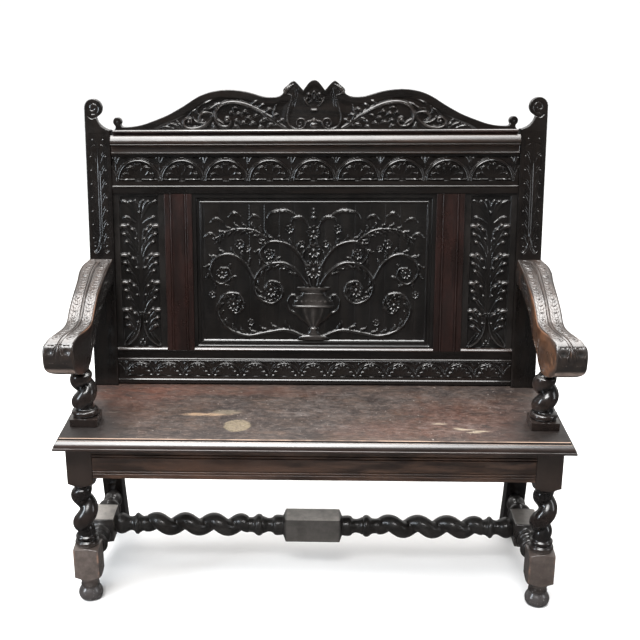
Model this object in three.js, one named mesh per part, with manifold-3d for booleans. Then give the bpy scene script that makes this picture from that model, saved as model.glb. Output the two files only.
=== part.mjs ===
// Carved oak hall settle: joined frame, twist-turned legs and stretchers,
// moulded seat, raked back with carved rails and panels, scrolled arms.
// Millimetres, +Z up, front towards -Y, origin on the floor under the middle.
import * as THREE from 'three';
import { mergeVertices } from 'three/addons/utils/BufferGeometryUtils.js';
import Module from 'manifold-3d';

const wasm = await Module();
wasm.setup();

// ---------------------------------------------------------------- dimensions
const FLOOR = 6;              // heights below are taken from a base line this far under the floor
const GAP = 0.3;              // clearance left between pieces that touch
const SEAT_HALF = 600;        // half width of the seat board
const SEAT_UNDER = 436;       // underside of the seat board, 430 above the floor
const SEAT_TOP = 462;         // sitting surface, 456 above the floor
const SEAT_JOINT = 176;       // glue line between the two seat boards
const BACK_Y = 341;           // front plane of the back frame at seat level
const RAKE = 0.1207;          // back frame leans back by this slope
const POST_IN = 504.5;        // rear posts, inner face
const POST_OUT = 567;         // rear posts, outer face
const POST_DEPTH = 42;        // rear posts, front to back
const REAR_LEG_IN = 515;      // rear legs are narrower below the seat rails
const LEG_X = 549.4;          // front leg axis, sideways
const LEG_Y = 69;             // front leg axis, from the seat's front edge
const LEG_HALF = 31.2;        // half the front leg's square
const APRON_LOW = 347.7;      // lower edge of the seat rails
const STRETCH_X = 538;        // side stretcher axis
const STRETCH_Y = 215;        // centre stretcher axis
const STRETCH_Z = 130;        // height of all stretcher axes
const BLOCK_HALF = 31.5;      // half the stretchers' square blocks
const TWIST_OFFSET = 8.8;     // strand centre away from the axis
const TWIST_STRAND = 22.2;    // radius of a twist's strand
const SUPPORT_X = 541;        // arm support axis
const SUPPORT_Y = 109.5;
const ARM_UNDER = 594;        // underside of the arm over its support
const RAIL_N = 3;             // rails sit this far behind the posts' faces
const RAIL_T = 26;            // rail thickness
const PANEL_N = 9;            // panel faces behind the posts' faces
const PANEL_T = 12;
const LOWER_RAIL = [466.4, 553.5];
const TOP_RAIL = [952.3, 1095];
const MUNTIN = [305, 375];    // inner and outer edge of a muntin
const CREST_FOOT = 1108;      // underside of the crest board
const CORNICE = [1049.7, 1095.4];

const OAK = new THREE.Color(0.045, 0.028, 0.021);
const OAK_WARM = new THREE.Color(0.085, 0.042, 0.027);
const OAK_WORN = new THREE.Color(0.16, 0.095, 0.06);

// ------------------------------------------------------------------- helpers
function clean(geometry) {
  const g = geometry.index ? geometry.toNonIndexed() : geometry.clone();
  g.deleteAttribute('normal');
  g.deleteAttribute('uv');
  const m = mergeVertices(g, 1e-3);
  const keep = [];
  const idx = m.index.array;
  for (let i = 0; i < idx.length; i += 3) {
    const a = idx[i], b = idx[i + 1], c = idx[i + 2];
    if (a !== b && b !== c && a !== c) keep.push(a, b, c);
  }
  m.setIndex(keep);
  return m;
}

function toSolid(geometry) {
  const g = clean(geometry);
  return new wasm.Manifold(new wasm.Mesh({
    numProp: 3,
    vertProperties: new Float32Array(g.attributes.position.array),
    triVerts: new Uint32Array(g.index.array),
  }));
}

function toGeometry(solid) {
  const m = solid.getMesh();
  const pos = new Float32Array(m.numVert * 3);
  for (let i = 0; i < m.numVert; i++) {
    for (let k = 0; k < 3; k++) pos[i * 3 + k] = m.vertProperties[i * m.numProp + k];
  }
  const g = new THREE.BufferGeometry();
  g.setAttribute('position', new THREE.BufferAttribute(pos, 3));
  g.setIndex(Array.from(m.triVerts));
  const flat = g.toNonIndexed();
  flat.computeVertexNormals();
  return flat;
}

function cut(geometry, cutters) {
  let s = toSolid(geometry);
  for (const c of cutters) s = s.subtract(toSolid(c));
  return toGeometry(s);
}

function box(x0, x1, y0, y1, z0, z1) {
  const g = new THREE.BoxGeometry(x1 - x0, y1 - y0, z1 - z0);
  g.translate((x0 + x1) / 2, (y0 + y1) / 2, (z0 + z1) / 2);
  return g;
}

function join(geometries) {
  let s = toSolid(geometries[0]);
  for (const g of geometries.slice(1)) s = s.add(toSolid(g));
  return toGeometry(s);
}

function outline(points) {
  const s = new THREE.Shape();
  points.forEach(([a, b], i) => (i ? s.lineTo(a, b) : s.moveTo(a, b)));
  s.closePath();
  return s;
}

// an outline drawn in (y, z) pushed along x
function alongX(points, x0, x1) {
  const g = new THREE.ExtrudeGeometry(outline(points), { depth: x1 - x0, bevelEnabled: false, steps: 1 });
  const p = g.attributes.position;
  for (let i = 0; i < p.count; i++) {
    const y = p.getX(i), z = p.getY(i), x = x0 + p.getZ(i);
    p.setXYZ(i, x, y, z);
  }
  return g;
}

// an outline drawn in (x, z) pushed along y
function alongY(points, y0, y1) {
  const g = new THREE.ExtrudeGeometry(outline(points), { depth: y1 - y0, bevelEnabled: false, steps: 1 });
  const p = g.attributes.position;
  for (let i = 0; i < p.count; i++) {
    const x = p.getX(i), z = p.getY(i), y = y1 - p.getZ(i);
    p.setXYZ(i, x, y, z);
  }
  return g;
}

function mirrorX(geometry) {
  const g = geometry.index ? geometry.toNonIndexed() : geometry.clone();
  g.deleteAttribute('normal');
  g.deleteAttribute('uv');
  const p = g.attributes.position;
  for (let i = 0; i < p.count; i += 3) {
    const v = [0, 1, 2].map((k) => [-p.getX(i + k), p.getY(i + k), p.getZ(i + k)]);
    p.setXYZ(i, ...v[0]);
    p.setXYZ(i + 1, ...v[2]);
    p.setXYZ(i + 2, ...v[1]);
  }
  g.computeVertexNormals();
  return g;
}

// a turned piece along +Y of its own frame; each station is
// [position, radius, squareness 0..1, sideways offset, forward offset]
function turned(stations, sides = 16) {
  const pts = stations.map(([t, r]) => new THREE.Vector2(r, t));
  const g = new THREE.LatheGeometry(pts, sides);
  const p = g.attributes.position;
  const n = pts.length;
  for (let i = 0; i < p.count; i++) {
    const [t, r, sq = 0, ou = 0, ov = 0] = stations[i % n];
    const phi = (Math.floor(i / n) / sides) * Math.PI * 2;
    const cu = Math.sin(phi), cv = Math.cos(phi);
    const k = 1 + sq * (1 / Math.max(Math.abs(cu), Math.abs(cv)) - 1);
    p.setXYZ(i, r * k * cu + ou, t, r * k * cv + ov);
  }
  return g;
}

// strand stations of a single twist from a to b; phase is the angle at a
function twist(a, b, pitch, phase, steps, turn = 1, fade = 0.35) {
  const out = [];
  for (let i = 0; i <= steps; i++) {
    const t = a + ((b - a) * i) / steps;
    const ang = phase + (turn * 2 * Math.PI * (t - a)) / pitch;
    const edge = Math.min(1, (t - a) / (pitch * fade), (b - t) / (pitch * fade));
    const e = TWIST_OFFSET * Math.max(0, edge);
    out.push([t, TWIST_STRAND, 0, e * Math.cos(ang), e * Math.sin(ang)]);
  }
  return out;
}

// turned frame (u, t, v) to a standing piece: t up, u to +X, v to -Y
function stand(g, x, y) {
  g.rotateX(Math.PI / 2);
  g.translate(x, y, 0);
  return g;
}

const root = new THREE.Group();
const frame = new THREE.Group();
root.add(frame);

function piece(parent, name, geometry, color = OAK, roughness = 0.34) {
  const mat = new THREE.MeshStandardMaterial({ color, roughness, metalness: 0 });
  const mesh = new THREE.Mesh(geometry, mat);
  mesh.name = name;
  parent.add(mesh);
  return mesh;
}

function pair(parent, name, geometry, color = OAK, roughness = 0.34) {
  piece(parent, `${name}_right`, geometry, color, roughness);
  piece(parent, `${name}_left`, mirrorX(geometry), color, roughness);
}

// ---------------------------------------------------------------- front legs
// the twist runs the same way round on both legs, so they are not mirrored; the right one starts a little higher
const legTop = SEAT_UNDER - GAP;
const legStations = (lift) => [
  [FLOOR, 0], [FLOOR, 20], [9, 24.6], [14, 28], [22, 29.8], [31, 28.2], [38, 24.6], [43, 22.4], [50, 21.6], [58, 22.8],
  [68, 25.8, 0.3], [78.5, LEG_HALF, 1], [150, LEG_HALF, 1], [156.5, 27, 0.4],
  [158, 26.4], [161, 28.8], [167, 28.8], [172, 25.4], [175, 24.6], [179, 26.6], [185, 25.6], [190, 21.6],
  ...twist(194, 311, 76, Math.PI * 1.552 + (2 * Math.PI * lift) / 76, 15, -1),
  [313.5, 21], [316, 22.6], [319.5, 25.5, 0.2], [326, 28.5, 0.6], [333.5, LEG_HALF, 1], [legTop, LEG_HALF, 1], [legTop, 0],
];
const apronTenon = [362, 418];
function frontLeg(side) {
  const g = stand(turned(legStations(side > 0 ? 15 : 0)), 0, 0);
  g.translate(side * LEG_X, LEG_Y, 0);
  const inner = side * (LEG_X - LEG_HALF);
  const toX = side * (LEG_X - LEG_HALF + 30 + GAP);
  const frontMortise = box(Math.min(inner - side * 2, toX), Math.max(inner - side * 2, toX),
    46 - GAP, 56 + GAP, apronTenon[0] - GAP, apronTenon[1] + GAP);
  const sx = side * 550;
  const sideMortise = box(sx - 5 - GAP, sx + 5 + GAP, LEG_Y + LEG_HALF - 26 - GAP, LEG_Y + LEG_HALF + 2,
    apronTenon[0] - GAP, apronTenon[1] + GAP);
  const bore = new THREE.CylinderGeometry(13 + GAP, 13 + GAP, 26, 16);
  bore.translate(side * STRETCH_X, LEG_Y + LEG_HALF - 24 + 13 - GAP, STRETCH_Z);
  return cut(g, [frontMortise, sideMortise, bore]);
}
piece(frame, 'front_leg_right', frontLeg(1));
piece(frame, 'front_leg_left', frontLeg(-1));

// ---------------------------------------------------------------- rear posts
const back = (z) => BACK_Y + RAKE * (z - SEAT_UNDER);
const POST_TOP = 1184.3;
const legCurve = [[402.2, FLOOR], [386, 62], [370, 120], [357, 180], [347.4, 250], [342.4, 330], [BACK_Y, SEAT_UNDER]];
const EAR_DEPTH = 17;         // the scrolled tops are thinned from behind
const postSide = [
  ...legCurve, [back(POST_TOP + 8), POST_TOP + 8], [back(POST_TOP + 8) + EAR_DEPTH, POST_TOP + 8],
  [back(1128) + EAR_DEPTH + 2, 1128], [back(1100) + POST_DEPTH, 1100],
  ...legCurve.slice().reverse().map(([y, z]) => [y + POST_DEPTH, z]),
];
const H = (z) => (z - SEAT_UNDER) * Math.sqrt(1 + RAKE * RAKE);   // height up the slope
// the raked joints and the scrolled top are cut square to the tilted back
const tilt = new THREE.Matrix4().makeTranslation(0, BACK_Y, SEAT_UNDER)
  .multiply(new THREE.Matrix4().makeRotationX(-Math.atan(RAKE)));
function tilted(g) {
  const c = g.clone();
  c.applyMatrix4(tilt);
  return c;
}
const EAR_X = 545.2, EAR_Z = 1162.6, EAR_R = 21.8;
const postFront = [[REAR_LEG_IN, -150], [POST_OUT, -150], [POST_OUT, EAR_Z]];
for (let i = 1; i <= 17; i++) {
  const a = (i / 17) * Math.PI * 1.34;
  postFront.push([EAR_X + EAR_R * Math.cos(a), EAR_Z + EAR_R * Math.sin(a)]);
}
postFront.push([538.6, 1140.4], [535.6, 1131.6], [529.6, 1122.2], [521.4, 1115], [512.4, 1110.6], [POST_IN, 1108.6],
  [POST_IN, APRON_LOW - 4], [REAR_LEG_IN, APRON_LOW - 44]);
const REAR_LEG_FACE = 357 + (180 - STRETCH_Z) * (13 / 60);   // rear leg's front face at the stretcher
function rearPost() {
  const face = tilted(alongY(postFront.map(([x, z]) => [x, H(z)]), -160, 200));
  let s = toSolid(alongX(postSide, POST_IN, POST_OUT)).intersect(toSolid(face));
  const cutters = [
    // seat rails
    box(POST_IN - 2, POST_IN + 30 + GAP, 366 - GAP, 376 + GAP, apronTenon[0] - GAP, apronTenon[1] + GAP),
    box(545 - GAP, 555 + GAP, 330, 366, apronTenon[0] - GAP, apronTenon[1] + GAP),
    // arm tenon
    box(529 - GAP, 547 + GAP, 360, 404 + GAP, 742 - GAP, 772 + GAP),
  ];
  for (const c of cutters) s = s.subtract(toSolid(c));
  const bore = new THREE.CylinderGeometry(13 + GAP, 13 + GAP, 60, 16);
  bore.translate(STRETCH_X, REAR_LEG_FACE + 18.3 - 30, STRETCH_Z);
  s = s.subtract(toSolid(bore));
  return s;
}
const LOWER_TENON = [H(478), H(541)];
const TOP_TENON = [H(970), H(1077)];
function finishedPost() {
  let s = rearPost();
  const inRake = [
    box(POST_IN - 2, POST_IN + 30 + GAP, 10 - GAP, 22 + GAP, LOWER_TENON[0] - GAP, LOWER_TENON[1] + GAP),
    box(POST_IN - 2, POST_IN + 30 + GAP, 10 - GAP, 22 + GAP, TOP_TENON[0] - GAP, TOP_TENON[1] + GAP),
    box(POST_IN - 2, POST_IN + 8, PANEL_N - GAP, PANEL_N + PANEL_T + GAP, H(LOWER_RAIL[1]) - 8, H(TOP_RAIL[0]) + 8),
  ];
  for (const c of inRake) s = s.subtract(toSolid(tilted(c)));
  return toGeometry(s);
}
pair(frame, 'rear_post', finishedPost());

// ---------------------------------------------------------------- seat rails
const legIn = LEG_X - LEG_HALF;
piece(frame, 'front_apron', join([
  box(-(legIn - GAP), legIn - GAP, 39, 63, APRON_LOW, SEAT_UNDER - GAP),
  box(-(legIn + 30), legIn + 30, 46, 56, apronTenon[0], apronTenon[1]),
]), OAK_WARM);
const legBackY = LEG_Y + LEG_HALF;
const sideRail = [
  [legBackY + GAP, APRON_LOW], [341.6, APRON_LOW], [340.6, SEAT_UNDER - GAP], [legBackY + GAP, SEAT_UNDER - GAP],
];
pair(frame, 'side_apron', join([
  alongX(sideRail, 539, 561),
  box(545, 555, legBackY - 26 + GAP, 362, apronTenon[0], apronTenon[1]),
]), OAK_WARM);
piece(frame, 'rear_seat_rail', join([
  box(-(POST_IN - GAP), POST_IN - GAP, 358, 380, APRON_LOW, SEAT_UNDER - GAP),
  box(-(POST_IN + 30), POST_IN + 30, 366, 376, apronTenon[0], apronTenon[1]),
]), OAK_WARM);

// glue blocks in the corners of the seat frame
function cornerBlock(points, z0, z1) {
  const g = new THREE.ExtrudeGeometry(outline(points), { depth: z1 - z0, bevelEnabled: false, steps: 1 });
  g.translate(0, 0, z0);
  return g;
}
pair(frame, 'front_corner_block', cornerBlock([[legIn - GAP, 63 + GAP], [legIn - GAP, 98], [legIn - 42, 63 + GAP]], 376, SEAT_UNDER - GAP));
pair(frame, 'rear_corner_block', cornerBlock([[539 - GAP, 340.3], [POST_IN + 2, 340.3], [539 - GAP, 302]], 376, SEAT_UNDER - GAP));

// ---------------------------------------------------------------- stretchers
const frontFace = legBackY;
const rearFace = REAR_LEG_FACE;
const q = BLOCK_HALF;
const sideStations = [
  [frontFace - 22, 0], [frontFace - 22, 13], [frontFace + GAP, 13], [frontFace + GAP, 20], [104, 22.5], [108, 27], [114, 28], [121, 25], [125, 19.5],
  [132, 17.5], [139, 19], [144, 24], [150, 27.8], [156, 28], [162, 24.6], [166, 22.4],
  [169, 25.5, 0.3], [176, q, 1], [254, q, 1], [261, 25.5, 0.3],
  [265, 21.5], [271, 22.6], [278, 26], [285, 29.2], [292, 29.4], [299, 25.4], [303, 19.4], [311, 17], [322, 20.4], [333, 23.6], [343, 23.4], [351, 20], [rearFace - 4.8 - GAP, 18.5],
  [rearFace - 4.8 - GAP, 13], [rearFace + 18, 13], [rearFace + 18, 0],
];
function sideStretcher(side) {
  const g = turned(sideStations);
  g.translate(side * STRETCH_X, 0, STRETCH_Z);
  const bore = new THREE.CylinderGeometry(13 + GAP, 13 + GAP, 26, 16);
  bore.rotateZ(Math.PI / 2);
  bore.translate(side * (STRETCH_X - q + 11), STRETCH_Y, STRETCH_Z);
  return cut(g, [bore]);
}
piece(frame, 'side_stretcher_right', sideStretcher(1));
piece(frame, 'side_stretcher_left', sideStretcher(-1));

const sideIn = STRETCH_X - q;     // inner face of the side blocks
const inner = [                    // from the middle block outwards
  [76, 24.5, 0.3], [82, 25.4], [90, 25.6], [97, 24.4], [103, 19.4], [112, 17.6], [122, 20], [130, 25.4], [137, 27.2], [144, 25.2], [152, 20.4], [158, 18.8],
];
const outer = [[438, 20.2], [444, 24.8], [449, 27], [454, 24.8], [460, 19.6], [466, 18], [474, 20.6], [484, 25.4], [492, 26.2], [499, 24], [sideIn - GAP, 22]];
function strand(a, b, peak) {
  const out = [];
  const pitch = 74;
  const steps = Math.round((b - a) / 12);
  for (let i = 0; i <= steps; i++) {
    const x = a + ((b - a) * i) / steps;
    const ang = (2 * Math.PI * (x - peak)) / pitch;
    const edge = Math.max(0, Math.min(1, (x - a) / 22, (b - x) / 22));
    out.push([x, 21.6, 0, 7.8 * edge * Math.cos(ang), -7.8 * edge * Math.sin(ang)]);
  }
  return out;
}
const rev = (list) => list.slice().reverse().map(([t, ...r]) => [-t, ...r]);
const centreStations = [
  [-(sideIn + 20), 0], [-(sideIn + 20), 13], [-(sideIn - GAP), 13],
  ...rev(outer), ...strand(-430, -166, -322), ...rev(inner),
  [-70, q, 1], [70, q, 1],
  ...inner, ...strand(166, 430, 274), ...outer,
  [sideIn - GAP, 13], [sideIn + 20, 13], [sideIn + 20, 0],
];
{
  // turned frame: u is up here, v towards the back
  const g = turned(centreStations);
  const p = g.attributes.position;
  for (let i = 0; i < p.count; i++) {
    const u = p.getX(i), t = p.getY(i), v = p.getZ(i);
    p.setXYZ(i, t, STRETCH_Y + v, STRETCH_Z + u);
  }
  // u to +Z, t to +X, v to +Y keeps the winding
  piece(frame, 'centre_stretcher', toGeometry(toSolid(g)));
}

// ---------------------------------------------------------------- seat boards
const moulding = [
  [0, 0], [5, 0], [6.2, 1.4], [9.6, 2], [13.4, 3.2], [16.8, 5.2], [19.6, 7.8], [21.2, 10.6], [21.2, 12.4], [SEAT_TOP - SEAT_UNDER, 12.4],
].map(([z, inset]) => [SEAT_UNDER + z, inset]);
function seatSlab(y0, y1, mouldFront) {
  const n = moulding.length - 1;
  const g = new THREE.BoxGeometry(2, 1, 1, 1, 1, n);
  const p = g.attributes.position;
  for (let i = 0; i < p.count; i++) {
    const level = Math.round((p.getZ(i) + 0.5) * n);
    const [z, inset] = moulding[level];
    const x = p.getX(i) * (SEAT_HALF - inset);
    const y = p.getY(i) < 0 ? y0 + (mouldFront ? inset : 0) : y1;
    p.setXYZ(i, x, y, z);
  }
  return g;
}
const pinBore = (x, y, z0, z1, r) => {
  const c = new THREE.CylinderGeometry(r, r, z1 - z0, 16);
  c.rotateX(Math.PI / 2);
  c.translate(x, y, (z0 + z1) / 2);
  return c;
};
piece(frame, 'seat_board_front', cut(seatSlab(0, SEAT_JOINT - GAP / 2, true), [
  pinBore(SUPPORT_X, SUPPORT_Y, SEAT_TOP - 18.3, SEAT_TOP + 3, 10 + GAP),
  pinBore(-SUPPORT_X, SUPPORT_Y, SEAT_TOP - 18.3, SEAT_TOP + 3, 10 + GAP),
]), OAK_WORN, 0.4);
const notchY = BACK_Y - GAP;
piece(frame, 'seat_board_rear', cut(seatSlab(SEAT_JOINT + GAP / 2, 372, false), [
  box(POST_IN - GAP, SEAT_HALF + 5, notchY, 400, 420, 470),
  box(-SEAT_HALF - 5, -(POST_IN - GAP), notchY, 400, 420, 470),
]), OAK_WORN, 0.4);

// --------------------------------------------------------------- arm supports
const s0 = SEAT_TOP + GAP;
const supportStations = [
  [s0 - 18, 0], [s0 - 18, 10], [s0, 10], [s0, 33, 1], [s0 + 20, 33, 1], [s0 + 21, 28, 0.3], [s0 + 23, 30], [s0 + 28.5, 31.6], [s0 + 34, 29.6], [s0 + 37, 25], [s0 + 40, 21.4],
  ...twist(s0 + 43, ARM_UNDER - 8, 57, Math.PI * 1.25, 12, -1, 0.22),
  [ARM_UNDER - 4, 18.6], [ARM_UNDER - GAP, 17.6], [ARM_UNDER - GAP, 10], [ARM_UNDER + 18, 10], [ARM_UNDER + 18, 0],
];
const support = () => stand(turned(supportStations), 0, 0);
for (const [name, s] of [['arm_support_right', 1], ['arm_support_left', -1]]) {
  const g = support();
  g.translate(s * SUPPORT_X, SUPPORT_Y, 0);
  piece(frame, name, toGeometry(toSolid(g)));
}

// ----------------------------------------------------------------------- arms
// [y, under, top, inner x, outer x, undercut of the inner side] from the front of the scroll to the post
const armStations = [
  [10, 654, 667, 538, 607.6, 0], [12, 638, 679, 537.4, 607.4, 0], [17, 628, 688, 536.4, 606, 0], [24, 621, 695, 534.8, 602.6, 1], [34, 615, 700, 532, 598.4, 2], [46, 609, 703.6, 528.4, 592.4, 4],
  [60, 603, 705.2, 524, 586, 7], [75, 597, 706, 519, 580.4, 11], [88, ARM_UNDER, 707, 515.2, 577, 14], [100, ARM_UNDER, 709, 512.4, 574.4, 16], [112, ARM_UNDER, 712, 511, 573.4, 16], [126.6, ARM_UNDER, 717, 511.2, 573.6, 16],
  [129, 612, 718.4, 511.4, 573.8, 13], [134, 626, 720.6, 511.6, 574, 10], [142, 638, 724, 512, 574.4, 7], [152, 647, 729, 512.2, 574.8, 4], [164, 657, 734.4, 512.6, 575, 2], [181, 671, 741.6, 512.8, 575, 1],
  [203, 687, 750.8, 513, 575, 0], [230, 701, 759, 512.4, 575.4, 0],
  [260, 711, 767, 511.4, 576.4, 0], [290, 717, 773.4, 511, 579, 0], [318, 721.5, 778, 511, 581.6, 0], [343, 724.5, 782, 510.4, 581, 0], [360, 726.5, 785.6, 509.6, 577, 0], [371, 727.5, 787.4, 509, 573, 0], [1000, 728, 788.6, 508.6, 569.6, 0],
];
function armBody() {
  const n = armStations.length - 1;
  const g = new THREE.BoxGeometry(2, 1, 1, 6, n, 1);
  const p = g.attributes.position;
  const across = [-1, -0.9, -0.5, 0, 0.5, 0.9, 1];
  for (let i = 0; i < p.count; i++) {
    const k = Math.round((p.getY(i) + 0.5) * n);
    const a = across[Math.round((p.getX(i) + 1) * 3)];
    const upper = p.getZ(i) > 0;
    let [y, lo, hi, xi, xo, under] = armStations[k];
    if (!upper) xi += under;
    const edge = Math.abs(a) === 1 ? Math.min(6, (hi - lo) * 0.2) : Math.abs(a) > 0.8 ? 1.4 : 0;
    const z = upper ? hi - edge : lo + edge * 0.6;
    if (k === n) y = back(z) - GAP * 1.4;
    p.setXYZ(i, xi + ((a + 1) / 2) * (xo - xi), y, z);
  }
  return g;
}
{
  let s = toSolid(armBody());
  s = s.add(toSolid(box(529, 547, 340, 404, 742, 772)));
  s = s.subtract(toSolid(pinBore(SUPPORT_X, SUPPORT_Y, ARM_UNDER - 6, ARM_UNDER + 18.3, 10 + GAP)));
  pair(frame, 'arm', toGeometry(s), OAK_WORN, 0.3);
}

// ---------------------------------------------------------- back, raked group
const rear = new THREE.Group();
rear.position.set(0, BACK_Y, SEAT_UNDER);
rear.rotation.x = -Math.atan(RAKE);
frame.add(rear);
const inX = POST_IN - GAP;
const groove = (x0, x1, h0, h1) => box(x0, x1, PANEL_N - GAP, PANEL_N + PANEL_T + GAP, h0, h1);

piece(rear, 'back_lower_rail', cut(join([
  box(-inX, inX, RAIL_N, RAIL_N + RAIL_T, H(LOWER_RAIL[0]), H(LOWER_RAIL[1])),
  box(-(POST_IN + 30), POST_IN + 30, 10, 22, LOWER_TENON[0], LOWER_TENON[1]),
]), [
  groove(-inX - 1, inX + 1, H(LOWER_RAIL[1]) - 8, H(LOWER_RAIL[1]) + 5),
  groove(320 - GAP, 360 + GAP, H(LOWER_RAIL[1]) - 26, H(LOWER_RAIL[1])),
  groove(-360 - GAP, -320 + GAP, H(LOWER_RAIL[1]) - 26, H(LOWER_RAIL[1])),
]));

const dowelX = [-300, 0, 300];
const dowelBore = (x) => {
  const c = new THREE.CylinderGeometry(5 + GAP, 5 + GAP, 44.6, 12);
  c.rotateX(Math.PI / 2);
  c.translate(x, 15, H(CREST_FOOT) - 4);
  return c;
};
piece(rear, 'back_top_rail', cut(join([
  box(-inX, inX, RAIL_N, RAIL_N + RAIL_T, H(TOP_RAIL[0]), H(TOP_RAIL[1])),
  box(-(POST_IN + 30), POST_IN + 30, 10, 22, TOP_TENON[0], TOP_TENON[1]),
]), [
  groove(-inX - 1, inX + 1, H(TOP_RAIL[0]) - 5, H(TOP_RAIL[0]) + 8),
  groove(320 - GAP, 360 + GAP, H(TOP_RAIL[0]), H(TOP_RAIL[0]) + 26),
  groove(-360 - GAP, -320 + GAP, H(TOP_RAIL[0]), H(TOP_RAIL[0]) + 26),
  ...dowelX.map(dowelBore),
]));

const panelLow = H(LOWER_RAIL[1]) - 7, panelHigh = H(TOP_RAIL[0]) + 7;
{
  const m = cut(join([
    box(MUNTIN[0], MUNTIN[1], RAIL_N, RAIL_N + RAIL_T, H(LOWER_RAIL[1]) + GAP, H(TOP_RAIL[0]) - GAP),
    box(320, 360, PANEL_N, PANEL_N + PANEL_T, H(LOWER_RAIL[1]) - 25, H(TOP_RAIL[0]) + 25),
  ]), [
    groove(MUNTIN[0] - 2, MUNTIN[0] + 8, H(LOWER_RAIL[1]), H(TOP_RAIL[0])),
    groove(MUNTIN[1] - 8, MUNTIN[1] + 2, H(LOWER_RAIL[1]), H(TOP_RAIL[0])),
  ]);
  pair(rear, 'muntin', m, OAK_WARM);
}
const panelY = [PANEL_N, PANEL_N + PANEL_T];
pair(rear, 'side_panel', box(MUNTIN[1] - 7, POST_IN + 7, ...panelY, panelLow, panelHigh));
piece(rear, 'centre_panel', box(-(MUNTIN[0] + 7), MUNTIN[0] + 7, ...panelY, panelLow, panelHigh));

// quarter-round beads along the bottom of each panel
const sill = [];
for (let i = 0; i <= 5; i++) {
  const a = (i / 5) * (Math.PI / 2);
  sill.push([PANEL_N - GAP - 8 * Math.sin(a), H(LOWER_RAIL[1]) + GAP + 7 * Math.cos(a)]);
}
sill.push([PANEL_N - GAP, H(LOWER_RAIL[1]) + GAP]);
pair(rear, 'side_panel_sill', alongX(sill, MUNTIN[1] + GAP, POST_IN - GAP));
piece(rear, 'centre_panel_sill', alongX(sill, -(MUNTIN[0] - GAP), MUNTIN[0] - GAP));

// moulding on the face of the top rail: bead, plain band, bead and ovolo
const corniceProfile = [
  [RAIL_N - GAP, CORNICE[0]], [-1.5, CORNICE[0]], [-4.6, 1051.7], [-4.6, 1053.7], [-1.8, 1055.7], [-1.8, 1069.8], [-4.8, 1070.8], [-5.6, 1072.4], [-12, 1073.2], [-17, 1075.6],
  [-19.6, 1079.8], [-20.2, 1084.4], [-18.6, 1089], [-14.6, 1092.8], [-8, 1094.8], [RAIL_N - GAP, CORNICE[1] - 0.4],
].map(([n, z]) => [n, H(z)]);
piece(rear, 'cornice_moulding', alongX(corniceProfile, -(inX - 2), inX - 2));

// thin hollow-moulded ledge under the crest
const ledgeProfile = [
  [RAIL_N + RAIL_T, 1095.5], [-4, 1095.5], [-5, 1098], [-8, 1101.6], [-12.6, 1104], [-14.6, 1104.6], [-14.6, 1107.7], [RAIL_N + RAIL_T, 1107.7],
].map(([n, z]) => [n, H(z)]);
piece(rear, 'crest_ledge', cut(alongX(ledgeProfile, -496, 496), dowelX.map(dowelBore)));

// crest board
const crestHalf = [
  [0, 1221.5], [7, 1219.6], [14, 1213.4], [20, 1206], [26.6, 1198], [33, 1204.4], [39, 1211], [44.6, 1216.6], [50.4, 1219.6], [57, 1216], [65, 1209], [72, 1202.6],
  [75.4, 1197.8], [74.6, 1192], [79.6, 1186.8], [88, 1183], [103, 1181.4], [118, 1182], [133, 1185.4], [150, 1190.4], [165, 1194.2], [180, 1197], [197, 1199],
  [213, 1199.6], [229, 1198.8], [245, 1196.4], [262, 1192.2], [278, 1186.2], [298, 1175.4], [319, 1162], [343, 1148.6], [362, 1139], [378, 1132.4], [396, 1125.8],
  [414, 1119.4], [432, 1114.8], [449, 1112.2], [464, 1111.2], [476, 1112.2],
];
const crestEar = [];
for (let i = 0; i <= 14; i++) {
  const a = Math.PI * (1.2 - 1.42 * (i / 14));
  crestEar.push([486.6 + 10.3 * Math.cos(a), 1124 + 10.3 * Math.sin(a)]);
}
const crestRight = [...crestHalf, ...crestEar, [491.4, 1112], [492.2, 1107], [495, CREST_FOOT / 1.0045]];
const crestZ = (z) => H(z * 1.0045);
const crestAll = [...crestRight.map(([x, z]) => [x, crestZ(z)]), ...crestRight.slice(1).reverse().map(([x, z]) => [-x, crestZ(z)])];
piece(rear, 'crest_board', cut(alongY(crestAll, 4, 24), dowelX.map(dowelBore)));

// dowels between crest board and top rail
dowelX.forEach((x, i) => {
  const c = new THREE.CylinderGeometry(5, 5, 44, 12);
  c.rotateX(Math.PI / 2);
  c.translate(x, 15, H(CREST_FOOT) - 4);
  piece(rear, `crest_dowel_${i + 1}`, c, OAK_WORN, 0.6);
});

// ------------------------------------------------------- origin on the floor
root.updateMatrixWorld(true);
const span = new THREE.Box3().setFromObject(root, true);
frame.position.set(-(span.min.x + span.max.x) / 2, -(span.min.y + span.max.y) / 2, -span.min.z);

export default root;
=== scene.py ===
"""Carved oak hall settle: the looks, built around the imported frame.

Heights and depths are worked out in millimetres in the drawing's own frame:
x to the right, y to the back from the seat's front edge, z up from a base
line 6 mm under the floor. Everything is turned into metres at the end.
"""
import math

import bpy
import numpy as np
from mathutils import Matrix, Vector
from mathutils.geometry import delaunay_2d_cdt


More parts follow.
